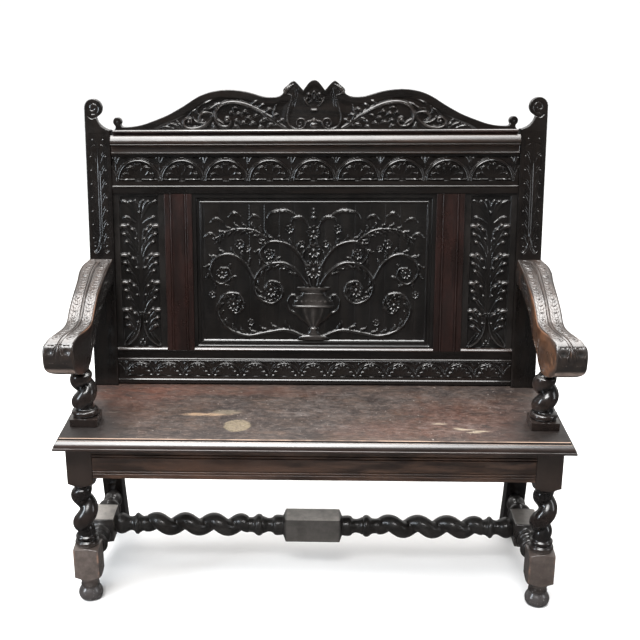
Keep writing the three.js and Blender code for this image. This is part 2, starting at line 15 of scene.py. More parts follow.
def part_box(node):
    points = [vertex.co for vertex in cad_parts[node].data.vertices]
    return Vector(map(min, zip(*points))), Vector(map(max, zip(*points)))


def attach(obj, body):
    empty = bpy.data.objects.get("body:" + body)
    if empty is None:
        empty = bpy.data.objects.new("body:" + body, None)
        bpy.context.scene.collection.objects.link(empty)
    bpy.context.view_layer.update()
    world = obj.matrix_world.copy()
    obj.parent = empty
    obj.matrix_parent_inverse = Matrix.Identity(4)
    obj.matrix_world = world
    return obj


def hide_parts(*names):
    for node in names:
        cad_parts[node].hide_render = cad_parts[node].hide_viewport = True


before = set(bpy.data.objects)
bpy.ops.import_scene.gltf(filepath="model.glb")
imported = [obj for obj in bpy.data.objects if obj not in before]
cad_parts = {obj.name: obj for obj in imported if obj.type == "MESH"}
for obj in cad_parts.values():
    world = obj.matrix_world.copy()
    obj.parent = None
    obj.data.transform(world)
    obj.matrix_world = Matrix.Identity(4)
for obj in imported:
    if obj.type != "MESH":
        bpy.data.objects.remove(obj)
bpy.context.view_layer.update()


# ------------------------------------------------------------------ dimensions
FLOOR = 6.0
SEAT_HALF, SEAT_UNDER, SEAT_TOP, SEAT_JOINT = 600.0, 436.0, 462.0, 176.0
BACK_Y, RAKE = 341.0, 0.1207
POST_IN, POST_OUT, POST_DEPTH, REAR_LEG_IN = 504.5, 567.0, 42.0, 515.0
LEG_X, LEG_Y, LEG_HALF, APRON_LOW = 549.4, 69.0, 31.2, 347.7
STRETCH_X, STRETCH_Y, STRETCH_Z, BLOCK = 538.0, 215.0, 130.0, 31.5
SUPPORT_X, SUPPORT_Y, ARM_UNDER = 541.0, 109.5, 594.0
RAIL_N, RAIL_T, PANEL_N, PANEL_T = 3.0, 26.0, 9.0, 12.0
LOWER_RAIL, TOP_RAIL, MUNTIN = (466.4, 553.5), (952.3, 1095.0), (305.0, 375.0)
CREST_FOOT = 1108.0
POST_TOP = 1184.3
EAR_X, EAR_Z, EAR_R, EAR_DEPTH = 545.2, 1162.6, 21.8, 17.0
TH = math.atan(RAKE)
SIN, COS = math.sin(TH), math.cos(TH)
YM = -1000.0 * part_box("seat_board_front")[0].y
RNG = np.random.default_rng(7)
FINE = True


def H(z):
    return (z - SEAT_UNDER) * math.sqrt(1 + RAKE * RAKE)


def back_points(x, h, n):
    """x across, h up the slope of the back, n behind the posts' faces."""
    return np.stack([x, BACK_Y + n * COS + h * SIN, SEAT_UNDER - n * SIN + h * COS], -1)


# --------------------------------------------------------------------- meshes
def make(name, verts, faces, mat, nodes, sharp=32.0, rise=None):
    """verts in drawing millimetres -> a named mesh object riding on the frame."""
    v = np.array(verts, float)
    v[:, 1] -= YM
    v[:, 2] -= FLOOR
    v /= 1000.0
    me = bpy.data.meshes.new(name)
    me.vertices.add(len(v))
    me.vertices.foreach_set("co", v.astype(np.float32).ravel())
    counts = np.concatenate([np.full(len(f), f.shape[1]) if isinstance(f, np.ndarray) else np.array([len(f)]) for f in faces])
    loops = np.concatenate([f.ravel() if isinstance(f, np.ndarray) else np.array(f) for f in faces]).astype(np.int32)
    me.loops.add(len(loops))
    me.loops.foreach_set("vertex_index", loops)
    starts = np.concatenate([[0], np.cumsum(counts)[:-1]]).astype(np.int32)
    me.polygons.add(len(counts))
    me.polygons.foreach_set("loop_start", starts)
    me.update(calc_edges=True)
    me.validate()
    me.polygons.foreach_set("use_smooth", np.ones(len(me.polygons), bool))
    me.set_sharp_from_angle(angle=math.radians(sharp))
    if rise is not None:
        at = me.attributes.new("rise", "FLOAT", "POINT")
        full = np.zeros(len(me.vertices), np.float32)
        full[: len(rise)] = rise
        at.data.foreach_set("value", full)
    me.materials.append(mat)
    ob = bpy.data.objects.new(name, me)
    bpy.context.scene.collection.objects.link(ob)
    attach(ob, "root")
    if nodes:
        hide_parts(*nodes)
    return ob


def pchip(x, y, xi):
    """Smooth interpolation that never overshoots."""
    x, y, xi = np.array(x, float), np.array(y, float), np.asarray(xi, float)
    h = np.diff(x)
    d = np.diff(y) / h
    m = np.zeros(len(x))
    for i in range(1, len(x) - 1):
        if d[i - 1] * d[i] > 0:
            w1, w2 = 2 * h[i] + h[i - 1], h[i] + 2 * h[i - 1]
            m[i] = (w1 + w2) / (w1 / d[i - 1] + w2 / d[i])
    m[0], m[-1] = d[0], d[-1]
    k = np.clip(np.searchsorted(x, xi, side="right") - 1, 0, len(x) - 2)
    t = (xi - x[k]) / h[k]
    return ((1 + 2 * t) * (1 - t) ** 2 * y[k] + t * (1 - t) ** 2 * h[k] * m[k]
            + t * t * (3 - 2 * t) * y[k + 1] + t * t * (t - 1) * h[k] * m[k + 1])


def spline(pts, step=1.5):
    """A smooth curve through the points, as a polyline."""
    P = np.array(pts, float)
    if len(P) == 2:
        n = max(2, int(np.linalg.norm(P[1] - P[0]) / step) + 1)
        return P[0] + (P[1] - P[0]) * np.linspace(0, 1, n)[:, None]
    E = np.vstack([2 * P[0] - P[1], P, 2 * P[-1] - P[-2]])
    out = []
    for i in range(1, len(E) - 2):
        a, b, c, d = E[i - 1:i + 3]
        n = max(2, int(np.linalg.norm(c - b) / step) + 1)
        t = np.linspace(0, 1, n, endpoint=False)[:, None]
        out.append(.5 * (2 * b + (c - a) * t + (2 * a - 5 * b + 4 * c - d) * t ** 2 + (3 * b - a - 3 * c + d) * t ** 3))
    out.append(E[-2][None])
    return np.vstack(out)


def near_line(X, Y, P, W):
    """For each point: the smallest distance / local width to the polyline, and where along it."""
    a, b = P[:-1], P[1:]
    ab = b - a
    L = np.linalg.norm(ab, axis=1)
    keep = L > 1e-9
    a, ab, L = a[keep], ab[keep], L[keep]
    S = np.concatenate([[0], np.cumsum(L)])
    total = S[-1]
    t = ((X[:, None] - a[:, 0]) * ab[:, 0] + (Y[:, None] - a[:, 1]) * ab[:, 1]) / (L ** 2)
    t = np.clip(t, 0, 1)
    dx = X[:, None] - a[:, 0] - t * ab[:, 0]
    dy = Y[:, None] - a[:, 1] - t * ab[:, 1]
    s = (S[:-1] + t * L) / total
    w = np.interp(s, np.linspace(0, 1, len(W)), W)
    q = np.hypot(dx, dy) / np.maximum(w, 1e-6)
    k = np.argmin(q, axis=1)
    r = np.arange(len(k))
    return q[r, k], s[r, k]


def ramp(v, a, b):
    t = np.clip((v - a) / (b - a), 0, 1)
    return t * t * (3 - 2 * t)


SHAPES = {
    "round": lambda q: np.sqrt(np.clip(1 - q * q, 0, 1)),
    "soft": lambda q: .5 + .5 * np.cos(np.pi * np.clip(q, 0, 1)),
    "band": lambda q: np.clip((1 - q) * 3.0, 0, 1),
    "ridge": lambda q: np.clip(1 - q, 0, 1),
    "cup": lambda q: np.clip((1 - q) * 4.5, 0, 1) * (.45 + .55 * q * q),
    "leaf": lambda q: np.sqrt(np.clip(1 - q * q, 0, 1)) * (1 - .26 * np.exp(-(q / .2) ** 2)),
    "full": lambda q: np.clip(1 - np.clip(q, 0, 1) ** 2.4, 0, 1) ** .8,
}


class Field:
    """A height map over scattered points: 0 is the carved ground, millimetres."""

    def __init__(self, X, Y, level):
        self.shape = np.shape(X)
        self.X, self.Y = np.ravel(X).astype(float), np.ravel(Y).astype(float)
        self.Z = np.full(self.X.size, float(level))

    def near(self, x0, x1, y0, y1):
        return np.nonzero((self.X >= x0) & (self.X <= x1) & (self.Y >= y0) & (self.Y <= y1))[0]

    def stroke(self, pts, w, h, kind="round", how="max", base=0.0):
        W = np.atleast_1d(np.array(w, float))
        Hh = np.atleast_1d(np.array(h, float))
        P = spline(pts)
        m = W.max() + .1
        i = self.near(P[:, 0].min() - m, P[:, 0].max() + m, P[:, 1].min() - m, P[:, 1].max() + m)
        if not len(i):
            return
        for c in np.array_split(i, max(1, len(i) * len(P) // 1500000 + 1)):
            q, s = near_line(self.X[c], self.Y[c], P, W)
            v = np.interp(s, np.linspace(0, 1, len(Hh)), Hh) * SHAPES[kind](q)
            hit = q < 1
            c, v = c[hit], v[hit]
            if how == "max":
                self.Z[c] = np.maximum(self.Z[c], base + v)
            elif how == "cut":
                self.Z[c] -= v
            else:
                self.Z[c] += v

    def blob(self, x, y, rx, ry, h, rot=0.0, how="max", base=0.0, kind="round"):
        R = max(rx, ry)
        i = self.near(x - R, x + R, y - R, y + R)
        dx, dy = self.X[i] - x, self.Y[i] - y
        u = dx * math.cos(rot) + dy * math.sin(rot)
        v = -dx * math.sin(rot) + dy * math.cos(rot)
        q = np.hypot(u / rx, v / ry)
        k = q < 1
        z = h * SHAPES[kind](q[k])
        if how == "max":
            self.Z[i[k]] = np.maximum(self.Z[i[k]], base + z)
        elif how == "cut":
            self.Z[i[k]] -= z
        else:
            self.Z[i[k]] += z

    def ring(self, x, y, r, w, h, how="max", base=0.0, kind="round", a0=0.0, a1=360.0):
        a = np.radians(np.linspace(a0, a1, max(8, int(abs(a1 - a0) / 10))))
        self.stroke(np.stack([x + r * np.cos(a), y + r * np.sin(a)], -1), w, h, kind, how, base)

    def curl(self, x, y, r0, a0, turns, w, h, shrink=.12, **kw):
        """A spiral that winds inwards from radius r0, starting at angle a0 (degrees)."""
        n = max(10, int(abs(turns) * 18))
        t = np.linspace(0, 1, n)
        a = math.radians(a0) + t * turns * 2 * math.pi
        r = r0 * (1 - t) + r0 * shrink * t
        self.stroke(np.stack([x + r * np.cos(a), y + r * np.sin(a)], -1), w, h, **kw)


def axis_points(a, b, step, edge=(0.0, .45, 1.0, 1.7)):
    inner = np.linspace(a + edge[-1], b - edge[-1], max(2, int(round((b - a - 2 * edge[-1]) / step)) + 1))
    return np.concatenate([a + np.array(edge[:-1]), inner, b - np.array(edge[:-1])[::-1]])


def edge_round(d, r):
    """How far a surface drops at distance d from an edge rounded with radius r."""
    t = np.clip(1 - d / r, 0, 1)
    return r * (1 - np.sqrt(np.clip(1 - t * t, 0, 1)))


def grid_board(name, xs, hs, depth, n_back, mat, nodes, mirror=False, rise=None, sharp=38.0):
    """A board of the back with a shaped front: depth (len(hs), len(xs)) is n at the front."""
    nx, nh = len(xs), len(hs)
    X, Hh = np.meshgrid(xs, hs)
    idx = np.arange(nx * nh).reshape(nh, nx)
    q = np.stack([idx[:-1, :-1], idx[:-1, 1:], idx[1:, 1:], idx[1:, :-1]], -1).reshape(-1, 4)
    loop = np.concatenate([idx[0, :-1], idx[:-1, -1], idx[-1, :0:-1], idx[:0:-1, 0]])
    bx, bh = X.ravel()[loop], Hh.ravel()[loop]
    k = len(loop)
    b = nx * nh + np.arange(k)
    nxt = np.roll(np.arange(k), -1)
    side = np.stack([loop, b, b[nxt], loop[nxt]], -1)
    v = np.vstack([back_points(X.ravel(), Hh.ravel(), depth.ravel()), back_points(bx, bh, np.full(k, n_back))])
    faces = [q, side, list(b[::-1])]
    if mirror:
        v[:, 0] *= -1
        faces = [q[:, ::-1], side[:, ::-1], list(b)]
    return make(name, v, faces, mat, nodes, sharp, None if rise is None else rise.ravel())


def densify(loop, step):
    out = []
    n = len(loop)
    for i in range(n):
        a, b = np.array(loop[i], float), np.array(loop[(i + 1) % n], float)
        k = max(1, int(np.linalg.norm(b - a) / step))
        out += [a + (b - a) * t for t in np.arange(k) / k]
    return np.array(out)


def inside(loop, X, Y):
    """Even-odd test of many points in a closed outline."""
    r = np.zeros(len(X), bool)
    x0, y0 = loop[:, 0], loop[:, 1]
    x1, y1 = np.roll(x0, -1), np.roll(y0, -1)
    for a, b, c, d in zip(x0, y0, x1, y1):
        if b == d:
            continue
        m = (Y > min(b, d)) & (Y <= max(b, d))
        r[m] ^= X[m] < a + (Y[m] - b) * (c - a) / (d - b)
    return r


def edge_distance(loop, X, Y):
    P = np.vstack([loop, loop[:1]])
    out = np.empty(len(X))
    for c in np.array_split(np.arange(len(X)), max(1, len(X) * len(P) // 3000000 + 1)):
        q, _ = near_line(X[c], Y[c], P, np.array([1.0]))
        out[c] = q
    return out


def triangulate(loop, pts):
    """Triangles over a closed outline (its points first) and points inside it."""
    n = len(loop)
    V = [Vector((float(a), float(b))) for a, b in np.vstack([loop, pts])] if len(pts) else [Vector((float(a), float(b))) for a, b in loop]
    E = [(i, (i + 1) % n) for i in range(n)]
    v, _, f, ov, _, _ = delaunay_2d_cdt(V, E, [], 1, 1e-7)
    back = {}
    for i, o in enumerate(ov):
        if o:
            back[i] = o[0]
    tri = np.array([[back[i] for i in t] for t in f if len(t) == 3 and all(i in back for i in t)])
    P = np.array([list(p) for p in V])
    a, b, c = P[tri[:, 0]], P[tri[:, 1]], P[tri[:, 2]]
    area = (b[:, 0] - a[:, 0]) * (c[:, 1] - a[:, 1]) - (b[:, 1] - a[:, 1]) * (c[:, 0] - a[:, 0])
    tri[area < 0] = tri[area < 0][:, ::-1]
    return tri[np.abs(area) > 1e-9]


def cut_board(name, outline, zones, depth, place, mat, nodes, edge=2.2, radius=1.6, mirror=False, sharp=38.0, back_step=None):
    """A board of any outline. zones are (x0, x1, z0, z1, step) of inner points, depth(X, Z, D)
    gives (front n, rise) at points D away from the outline, and place(x, z, front, n) puts points in space."""
    loop = densify(outline, edge)
    tan = np.roll(loop, -1, 0) - np.roll(loop, 1, 0)
    tan /= np.linalg.norm(tan, axis=1)[:, None]
    nrm = np.stack([-tan[:, 1], tan[:, 0]], -1)          # inwards for a counter-clockwise outline
    cand = []
    for o in (.5, 1.2):
        cand.append(loop + nrm * o)
    for x0, x1, z0, z1, st in zones:
        gx, gz = np.meshgrid(np.arange(x0, x1, st), np.arange(z0, z1, st))
        gx = gx + (np.arange(gx.shape[0]) % 2)[:, None] * st * .5
        cand.append(np.stack([gx.ravel(), gz.ravel()], -1))
    ring, grid = np.vstack(cand[:2]), np.vstack(cand[2:])
    k = inside(loop, grid[:, 0], grid[:, 1])
    grid = grid[k]
    grid = grid[edge_distance(loop, grid[:, 0], grid[:, 1]) > 1.9]
    k = inside(loop, ring[:, 0], ring[:, 1])
    off = np.repeat([.5, 1.2], len(loop))[k]
    ring = ring[k]
    ring = ring[edge_distance(loop, ring[:, 0], ring[:, 1]) > off * .9]
    pts = np.vstack([ring, grid])
    tri = triangulate(loop, pts)
    P = np.vstack([loop, pts])
    D = np.concatenate([np.zeros(len(loop)), edge_distance(loop, pts[:, 0], pts[:, 1])])
    n, rise = depth(P[:, 0], P[:, 1], D)
    n = n + edge_round(D, radius)
    front = place(P[:, 0], P[:, 1], True, n)
    m = len(loop)
    if back_step:
        gx, gz = np.meshgrid(np.arange(loop[:, 0].min(), loop[:, 0].max(), back_step), np.arange(loop[:, 1].min(), loop[:, 1].max(), back_step))
        g = np.stack([gx.ravel(), gz.ravel()], -1)
        g = g[inside(loop, g[:, 0], g[:, 1])]
        g = g[edge_distance(loop, g[:, 0], g[:, 1]) > 2.5]
    else:
        g = np.zeros((0, 2))
    trib = triangulate(loop, g)
    Pb = np.vstack([loop, g])
    backv = place(Pb[:, 0], Pb[:, 1], False, None)
    v = np.vstack([front, backv])
    N = len(P)
    i = np.arange(m)
    j = np.roll(i, -1)
    side = np.stack([i, N + i, N + j, j], -1)
    faces = [tri, side, trib[:, ::-1] + N]
    if mirror:
        v[:, 0] *= -1
        faces = [f[:, ::-1] for f in faces]
    full = np.concatenate([rise, np.zeros(len(Pb))])
    return make(name, v, faces, mat, nodes, sharp, full)


def prism(name, prof, x0, x1, mat, nodes, back=True, sharp=30.0, chamfer=0.0):
    """A counter-clockwise profile [(depth, height)] pushed along x. back: profile in the raked frame."""
    p = np.array(prof, float)
    k = len(p)
    c = p.mean(0)
    rows = [(x0, chamfer), (x0 + chamfer, 0), (x1 - chamfer, 0), (x1, chamfer)] if chamfer else [(x0, 0), (x1, 0)]
    mids = []
    if x1 - x0 > 300:
        span = rows[len(rows) // 2 - 1][0], rows[len(rows) // 2][0]
        mids = [(x, 0) for x in np.linspace(span[0], span[1], 9)[1:-1]]
    rows = rows[:len(rows) // 2] + mids + rows[len(rows) // 2:]
    v = []
    for x, s in rows:
        d = p - c
        L = np.linalg.norm(d, axis=1)[:, None]
        pp = c + d * np.clip(1 - s / np.maximum(L, 1e-6), .2, 1)
        xx = np.full(k, x)
        v.append(back_points(xx, pp[:, 1], pp[:, 0]) if back else np.stack([xx, pp[:, 0], pp[:, 1]], -1))
    v = np.vstack(v)
    i = np.arange(k)
    j = np.roll(i, -1)
    faces = []
    for r in range(len(rows) - 1):
        a, b = r * k, (r + 1) * k
        faces.append(np.stack([a + i, b + i, b + j, a + j], -1))
    faces += [list(range(k))[::-1], list((len(rows) - 1) * k + i)]
    ob = make(name, v, faces, mat, nodes, sharp)
    return ob


def turned(name, t, radius, place, mat, nodes, segs=96, sharp=40.0, flip=False, rise=None):
    """radius(t[:, None], phi[None, :]) around an axis; place(u, t, v) puts it in space."""
    phi = np.arange(segs) / segs * 2 * math.pi
    R = radius(t[:, None], phi[None, :])
    U, V = R * np.cos(phi), R * np.sin(phi)
    T = np.repeat(t[:, None], segs, 1)
    v = place(U.ravel(), T.ravel(), V.ravel())
    ends = place(np.zeros(2), np.array([t[0], t[-1]]), np.zeros(2))
    n = len(t)
    idx = np.arange(n * segs).reshape(n, segs)
    nx = np.roll(idx, -1, 1)
    q = np.stack([idx[:-1], nx[:-1], nx[1:], idx[1:]], -1).reshape(-1, 4)
    a, b = n * segs, n * segs + 1
    lo = np.stack([nx[0], idx[0], np.full(segs, a)], -1)
    hi = np.stack([idx[-1], nx[-1], np.full(segs, b)], -1)
    faces = [q, lo, hi]
    if flip:
        faces = [f[:, ::-1] for f in faces]
    r = None if rise is None else rise(T, U, V).ravel()
    return make(name, np.vstack([v, ends]), faces, mat, nodes, sharp, r)


def square(phi, half, p=26.0):
    """Radius of a square section with slightly rounded corners."""
    return half / (np.abs(np.cos(phi)) ** p + np.abs(np.sin(phi)) ** p) ** (1 / p)


def offset_circle(phi, e, a, r):
    """Radius seen from the axis of a circle r whose centre is e away in direction a."""
    return e * np.cos(phi - a) + np.sqrt(np.maximum(r * r - (e * np.sin(phi - a)) ** 2, 1e-6))


# ------------------------------------------------------------------ materials
def node(nt, kind, **kw):
    n = nt.nodes.new(kind)
    for k, v in kw.items():
        if k in n.inputs:
            n.inputs[k].default_value = v
        else:
            setattr(n, k, v)
    return n


def mix(nt, fac, a, b, blend="MIX"):
    n = nt.nodes.new("ShaderNodeMix")
    n.data_type = "RGBA"
    n.blend_type = blend
    for sock, val in ((n.inputs[0], fac), (n.inputs[6], a), (n.inputs[7], b)):
        if isinstance(val, bpy.types.NodeSocket):
            nt.links.new(val, sock)
        else:
            sock.default_value = (*val, 1) if isinstance(val, tuple) and len(val) == 3 else val
    return n.outputs[2]


def calc(nt, op, a, b=0.0, clamp=False):
    n = nt.nodes.new("ShaderNodeMath")
    n.operation = op
    n.use_clamp = clamp
    for sock, val in ((n.inputs[0], a), (n.inputs[1], b)):
        if isinstance(val, bpy.types.NodeSocket):
            nt.links.new(val, sock)
        else:
            sock.default_value = val
    return n.outputs[0]


def levels(nt, v, a, b, lo=0.0, hi=1.0):
    n = nt.nodes.new("ShaderNodeMapRange")
    n.interpolation_type = "SMOOTHSTEP"
    nt.links.new(v, n.inputs[0])
    for k, x in zip((1, 2, 3, 4), (a, b, lo, hi)):
        n.inputs[k].default_value = x
    return n.outputs[0]


def noise(nt, vec, scale, detail=4.0, rough=.55, warp=0.0):
    n = node(nt, "ShaderNodeTexNoise", Scale=scale, Detail=detail, Roughness=rough, Distortion=warp)
    nt.links.new(vec, n.inputs["Vector"])
    return n.outputs["Fac"]


def oak(name, axis, dark, mid, worn, rough=(.28, .5), wear=.5, coat=.35, coat_rough=.12, dust=0.0, dust_up=0.0,
        dust_col=(.24, .215, .19), patches=0.0, patch_col=(.2, .08, .045), grain=1.0, spec=.5, bump=.25, extra=None, coat_ior=1.5, run=.10, cut_shade=0.0):
    """Stained oak with its grain along one axis, worn where 'rise' is high, dusty where asked, and darkened with
    painted shade in its carved cuts where asked.
    """
    m = bpy.data.materials.new(name)
    m.use_nodes = True
    nt = m.node_tree
    nt.nodes.clear()
    out = node(nt, "ShaderNodeOutputMaterial")
    bsdf = node(nt, "ShaderNodeBsdfPrincipled")
    nt.links.new(bsdf.outputs[0], out.inputs[0])
    bsdf.inputs["IOR"].default_value = 1.5
    bsdf.inputs["Specular IOR Level"].default_value = spec
    bsdf.inputs["Coat Weight"].default_value = coat
    bsdf.inputs["Coat Roughness"].default_value = coat_rough
    bsdf.inputs["Coat IOR"].default_value = coat_ior
    tc = node(nt, "ShaderNodeTexCoord").outputs["Object"]

    def stretched(across, along):
        mp = node(nt, "ShaderNodeMapping")
        s = [across] * 3
        s["XYZ".index(axis)] = along
        mp.inputs["Scale"].default_value = s
        nt.links.new(tc, mp.inputs["Vector"])
        return mp.outputs[0]

    broad = noise(nt, stretched(1, run), 42, 5, .62, .5)
    fibre = noise(nt, stretched(1, .035), 520, 3, .6)
    pores = noise(nt, stretched(1, .06), 1500, 2, .5)
    blotch = noise(nt, tc, 11, 5, .6, .3)
    fine = noise(nt, tc, 95, 5, .65)
    col = mix(nt, levels(nt, broad, .36, .66), dark, mid)
    col = mix(nt, calc(nt, "MULTIPLY", levels(nt, fibre, .42, .62), .38 * grain), col, tuple(c * .42 for c in dark))
    col = mix(nt, calc(nt, "MULTIPLY", levels(nt, pores, .56, .66), .45 * grain), col, tuple(c * .25 for c in dark))
    rise = node(nt, "ShaderNodeAttribute", attribute_name="rise").outputs["Fac"]
    w = calc(nt, "MULTIPLY", levels(nt, rise, .45, 1.0), levels(nt, blotch, .34, .62, .35, 1.0))
    w = calc(nt, "MULTIPLY", w, levels(nt, fine, .3, .6, .5, 1.0))
    col = mix(nt, calc(nt, "MULTIPLY", w, wear), col, worn)
    # painted shade: where rise is low, in the carved cuts, the colour is darkened and the surface made rougher
    if cut_shade:
        deep = calc(nt, "MULTIPLY", levels(nt, rise, .06, .40, 1.0, 0.0), cut_shade)
        col = mix(nt, deep, col, tuple(c * .3 for c in dark))
    if patches:
        pt = calc(nt, "MULTIPLY", levels(nt, noise(nt, stretched(1, .45), 5.5, 5, .6, .4), .5, .64), patches)
        col = mix(nt, pt, col, patch_col)
    rgh = levels(nt, calc(nt, "ADD", calc(nt, "MULTIPLY", blotch, .6), calc(nt, "MULTIPLY", fine, .4)), .36, .62, rough[0], rough[1])
    if cut_shade:
        rgh = calc(nt, "ADD", rgh, calc(nt, "MULTIPLY", deep, .3), True)
    if dust or dust_up:
        up = nt.nodes.new("ShaderNodeSeparateXYZ")
        nt.links.new(node(nt, "ShaderNodeNewGeometry").outputs["Normal"], up.inputs[0])
        d = calc(nt, "ADD", calc(nt, "MULTIPLY", levels(nt, up.outputs[2], .2, .95), dust_up), dust)
        d = calc(nt, "MULTIPLY", d, levels(nt, blotch, .3, .62, .35, 1.0))
        d = calc(nt, "MULTIPLY", d, levels(nt, fine, .3, .62, .55, 1.0), True)
        col = mix(nt, d, col, dust_col)
        rgh = calc(nt, "ADD", rgh, calc(nt, "MULTIPLY", d, .45), True)
    if extra:
        col, rgh = extra(nt, tc, col, rgh)
    nt.links.new(col, bsdf.inputs["Base Color"])
    nt.links.new(rgh, bsdf.inputs["Roughness"])
    bp = node(nt, "ShaderNodeBump", Strength=bump, Distance=.0006)
    hgt = calc(nt, "ADD", calc(nt, "MULTIPLY", fibre, .55), calc(nt, "MULTIPLY", pores, .35))
    hgt = calc(nt, "ADD", hgt, calc(nt, "MULTIPLY", fine, .5))
    nt.links.new(hgt, bp.inputs["Height"])
    nt.links.new(bp.outputs[0], bsdf.inputs["Normal"])
    nt.links.new(bp.outputs[0], bsdf.inputs["Coat Normal"])
    return m


BLACK, BROWN, WORN = (.0030, .0022, .0018), (.0072, .0049, .0038), (.034, .025, .020)


def ellipse(nt, tc, cx, cy, rx, ry, wob=.35, soft=.25):
    """1 inside a wobbly ellipse on a level surface, 0 outside (metres)."""
    x = nt.nodes.new("ShaderNodeSeparateXYZ")
    nt.links.new(tc, x.inputs[0])
    a = calc(nt, "DIVIDE", calc(nt, "SUBTRACT", x.outputs[0], cx), rx)
    b = calc(nt, "DIVIDE", calc(nt, "SUBTRACT", x.outputs[1], cy), ry)
    r = calc(nt, "SQRT", calc(nt, "ADD", calc(nt, "MULTIPLY", a, a), calc(nt, "MULTIPLY", b, b)))
    r = calc(nt, "ADD", r, calc(nt, "MULTIPLY", calc(nt, "SUBTRACT", noise(nt, tc, 26, 5, .65), .5), wob * 2))
    return levels(nt, r, 1 - soft, 1 + soft, 1.0, 0.0)


def seat_marks_and_shadow(nt, tc, col, rgh):
    """Rubbed reddish places, a pale ring left by a pot, spills and dry scratches, and a painted shadow round the foot
    of each arm support.
    """
    mp = node(nt, "ShaderNodeMapping")
    mp.inputs["Scale"].default_value = (.42, 1, 1)
    nt.links.new(tc, mp.inputs["Vector"])
    streak = noise(nt, mp.outputs[0], 44, 7, .74, .9)
    fine = noise(nt, tc, 240, 4, .7)
    cloud = noise(nt, tc, 8, 5, .62, .5)
    col = mix(nt, calc(nt, "MULTIPLY", levels(nt, cloud, .40, .62), .75), col, (.018, .0135, .0128))
    blot = levels(nt, noise(nt, tc, 34, 6, .72, .8), .46, .60)
    col = mix(nt, calc(nt, "MULTIPLY", blot, .45), col, (.062, .050, .045))
    for cx, cy, rx, ry, k in ((-.45, .06, .13, .06, .8), (-.30, .085, .16, .035, .5), (-.46, -.06, .08, .06, .35), (.40, -.10, .17, .10, .5), (.18, -.16, .12, .05, .4), (-.08, .07, .12, .035, .3)):
        m = calc(nt, "MULTIPLY", ellipse(nt, tc, cx, cy, rx, ry, .8, .6), calc(nt, "MULTIPLY", levels(nt, streak, .3, .6), k))
        col = mix(nt, m, col, (.105, .042, .027))
    for cx, cy, rx, ry, k in ((-.02, -.06, .16, .035, .8), (-.22, .02, .12, .022, .5), (.10, .02, .18, .05, .6), (.33, -.14, .13, .03, .9), (-.40, -.13, .09, .02, .5), (.02, -.135, .10, .02, .7), (.45, -.03, .08, .05, .6)):
        m = calc(nt, "MULTIPLY", ellipse(nt, tc, cx, cy, rx, ry, .9, .7), calc(nt, "MULTIPLY", levels(nt, streak, .46, .68), k * .6))
        col = mix(nt, m, col, (.17, .148, .138))
    ring = calc(nt, "MULTIPLY", ellipse(nt, tc, -.179, -.137, .033, .033, .22, .10), levels(nt, fine, .34, .58, .25, .85))
    col = mix(nt, ring, col, (.20, .162, .105))
    col = mix(nt, calc(nt, "MULTIPLY", ellipse(nt, tc, -.258, -.0735, .05, .0075, 1.5, .5), .8), col, (.30, .205, .13))
    col = mix(nt, calc(nt, "MULTIPLY", ellipse(nt, tc, -.212, -.060, .03, .011, 1.5, .6), .5), col, (.20, .165, .115))
    col = mix(nt, calc(nt, "MULTIPLY", ellipse(nt, tc, -.49, -.064, .016, .004, .9, .4), .45), col, (.28, .22, .18))
    for cx, cy, rx, ry, k in ((.355, -.150, .018, .0035, .75), (.392, -.158, .024, .003, .8), (.375, -.166, .016, .0028, .7), (.340, -.143, .010, .003, .6), (.30, -.118, .018, .004, .5)):
        col = mix(nt, calc(nt, "MULTIPLY", ellipse(nt, tc, cx, cy, rx, ry, 1.7, .5), k), col, (.36, .30, .22))
    scr = calc(nt, "MULTIPLY", levels(nt, noise(nt, mp.outputs[0], 190, 5, .75, 1.2), .665, .72), .55)
    col = mix(nt, scr, col, (.30, .25, .22))
    spots = calc(nt, "MULTIPLY", levels(nt, noise(nt, tc, 150, 2, .5), .72, .75), .8)
    col = mix(nt, spots, col, (.34, .30, .27))
    tooth = noise(nt, mp.outputs[0], 150, 6, .82, .4)
    col = mix(nt, levels(nt, tooth, .33, .51, .72, 0.0), col, (.0095, .0066, .006))
    col = mix(nt, levels(nt, tooth, .50, .68, 0.0, .52), col, (.165, .120, .100))
    # painted shadow: the seat darkened in a patch round the base of each arm support, under the arm
    for cx, r in ((-.565, .125), (.56, .105)):
        col = mix(nt, calc(nt, "MULTIPLY", ellipse(nt, tc, cx, -.152, r, r * .92, .4, .65), .88), col, (.0085, .0066, .006))
    rub = calc(nt, "MULTIPLY", levels(nt, height_of(nt, tc)[1], -.2142, -.2128, 1.0, 0.0), levels(nt, noise(nt, mp.outputs[0], 20, 5, .7), .36, .58, .12, .72))
    col = mix(nt, rub, col, (.50, .35, .26))
    return col, calc(nt, "ADD", rgh, calc(nt, "MULTIPLY", ring, .25), True)


def height_of(nt, tc):
    x = nt.nodes.new("ShaderNodeSeparateXYZ")
    nt.links.new(tc, x.inputs[0])
    return x.outputs


def facing_up(nt, a=.5, b=.92):
    x = nt.nodes.new("ShaderNodeSeparateXYZ")
    nt.links.new(node(nt, "ShaderNodeNewGeometry").outputs["Normal"], x.inputs[0])
    return levels(nt, x.outputs[2], a, b)


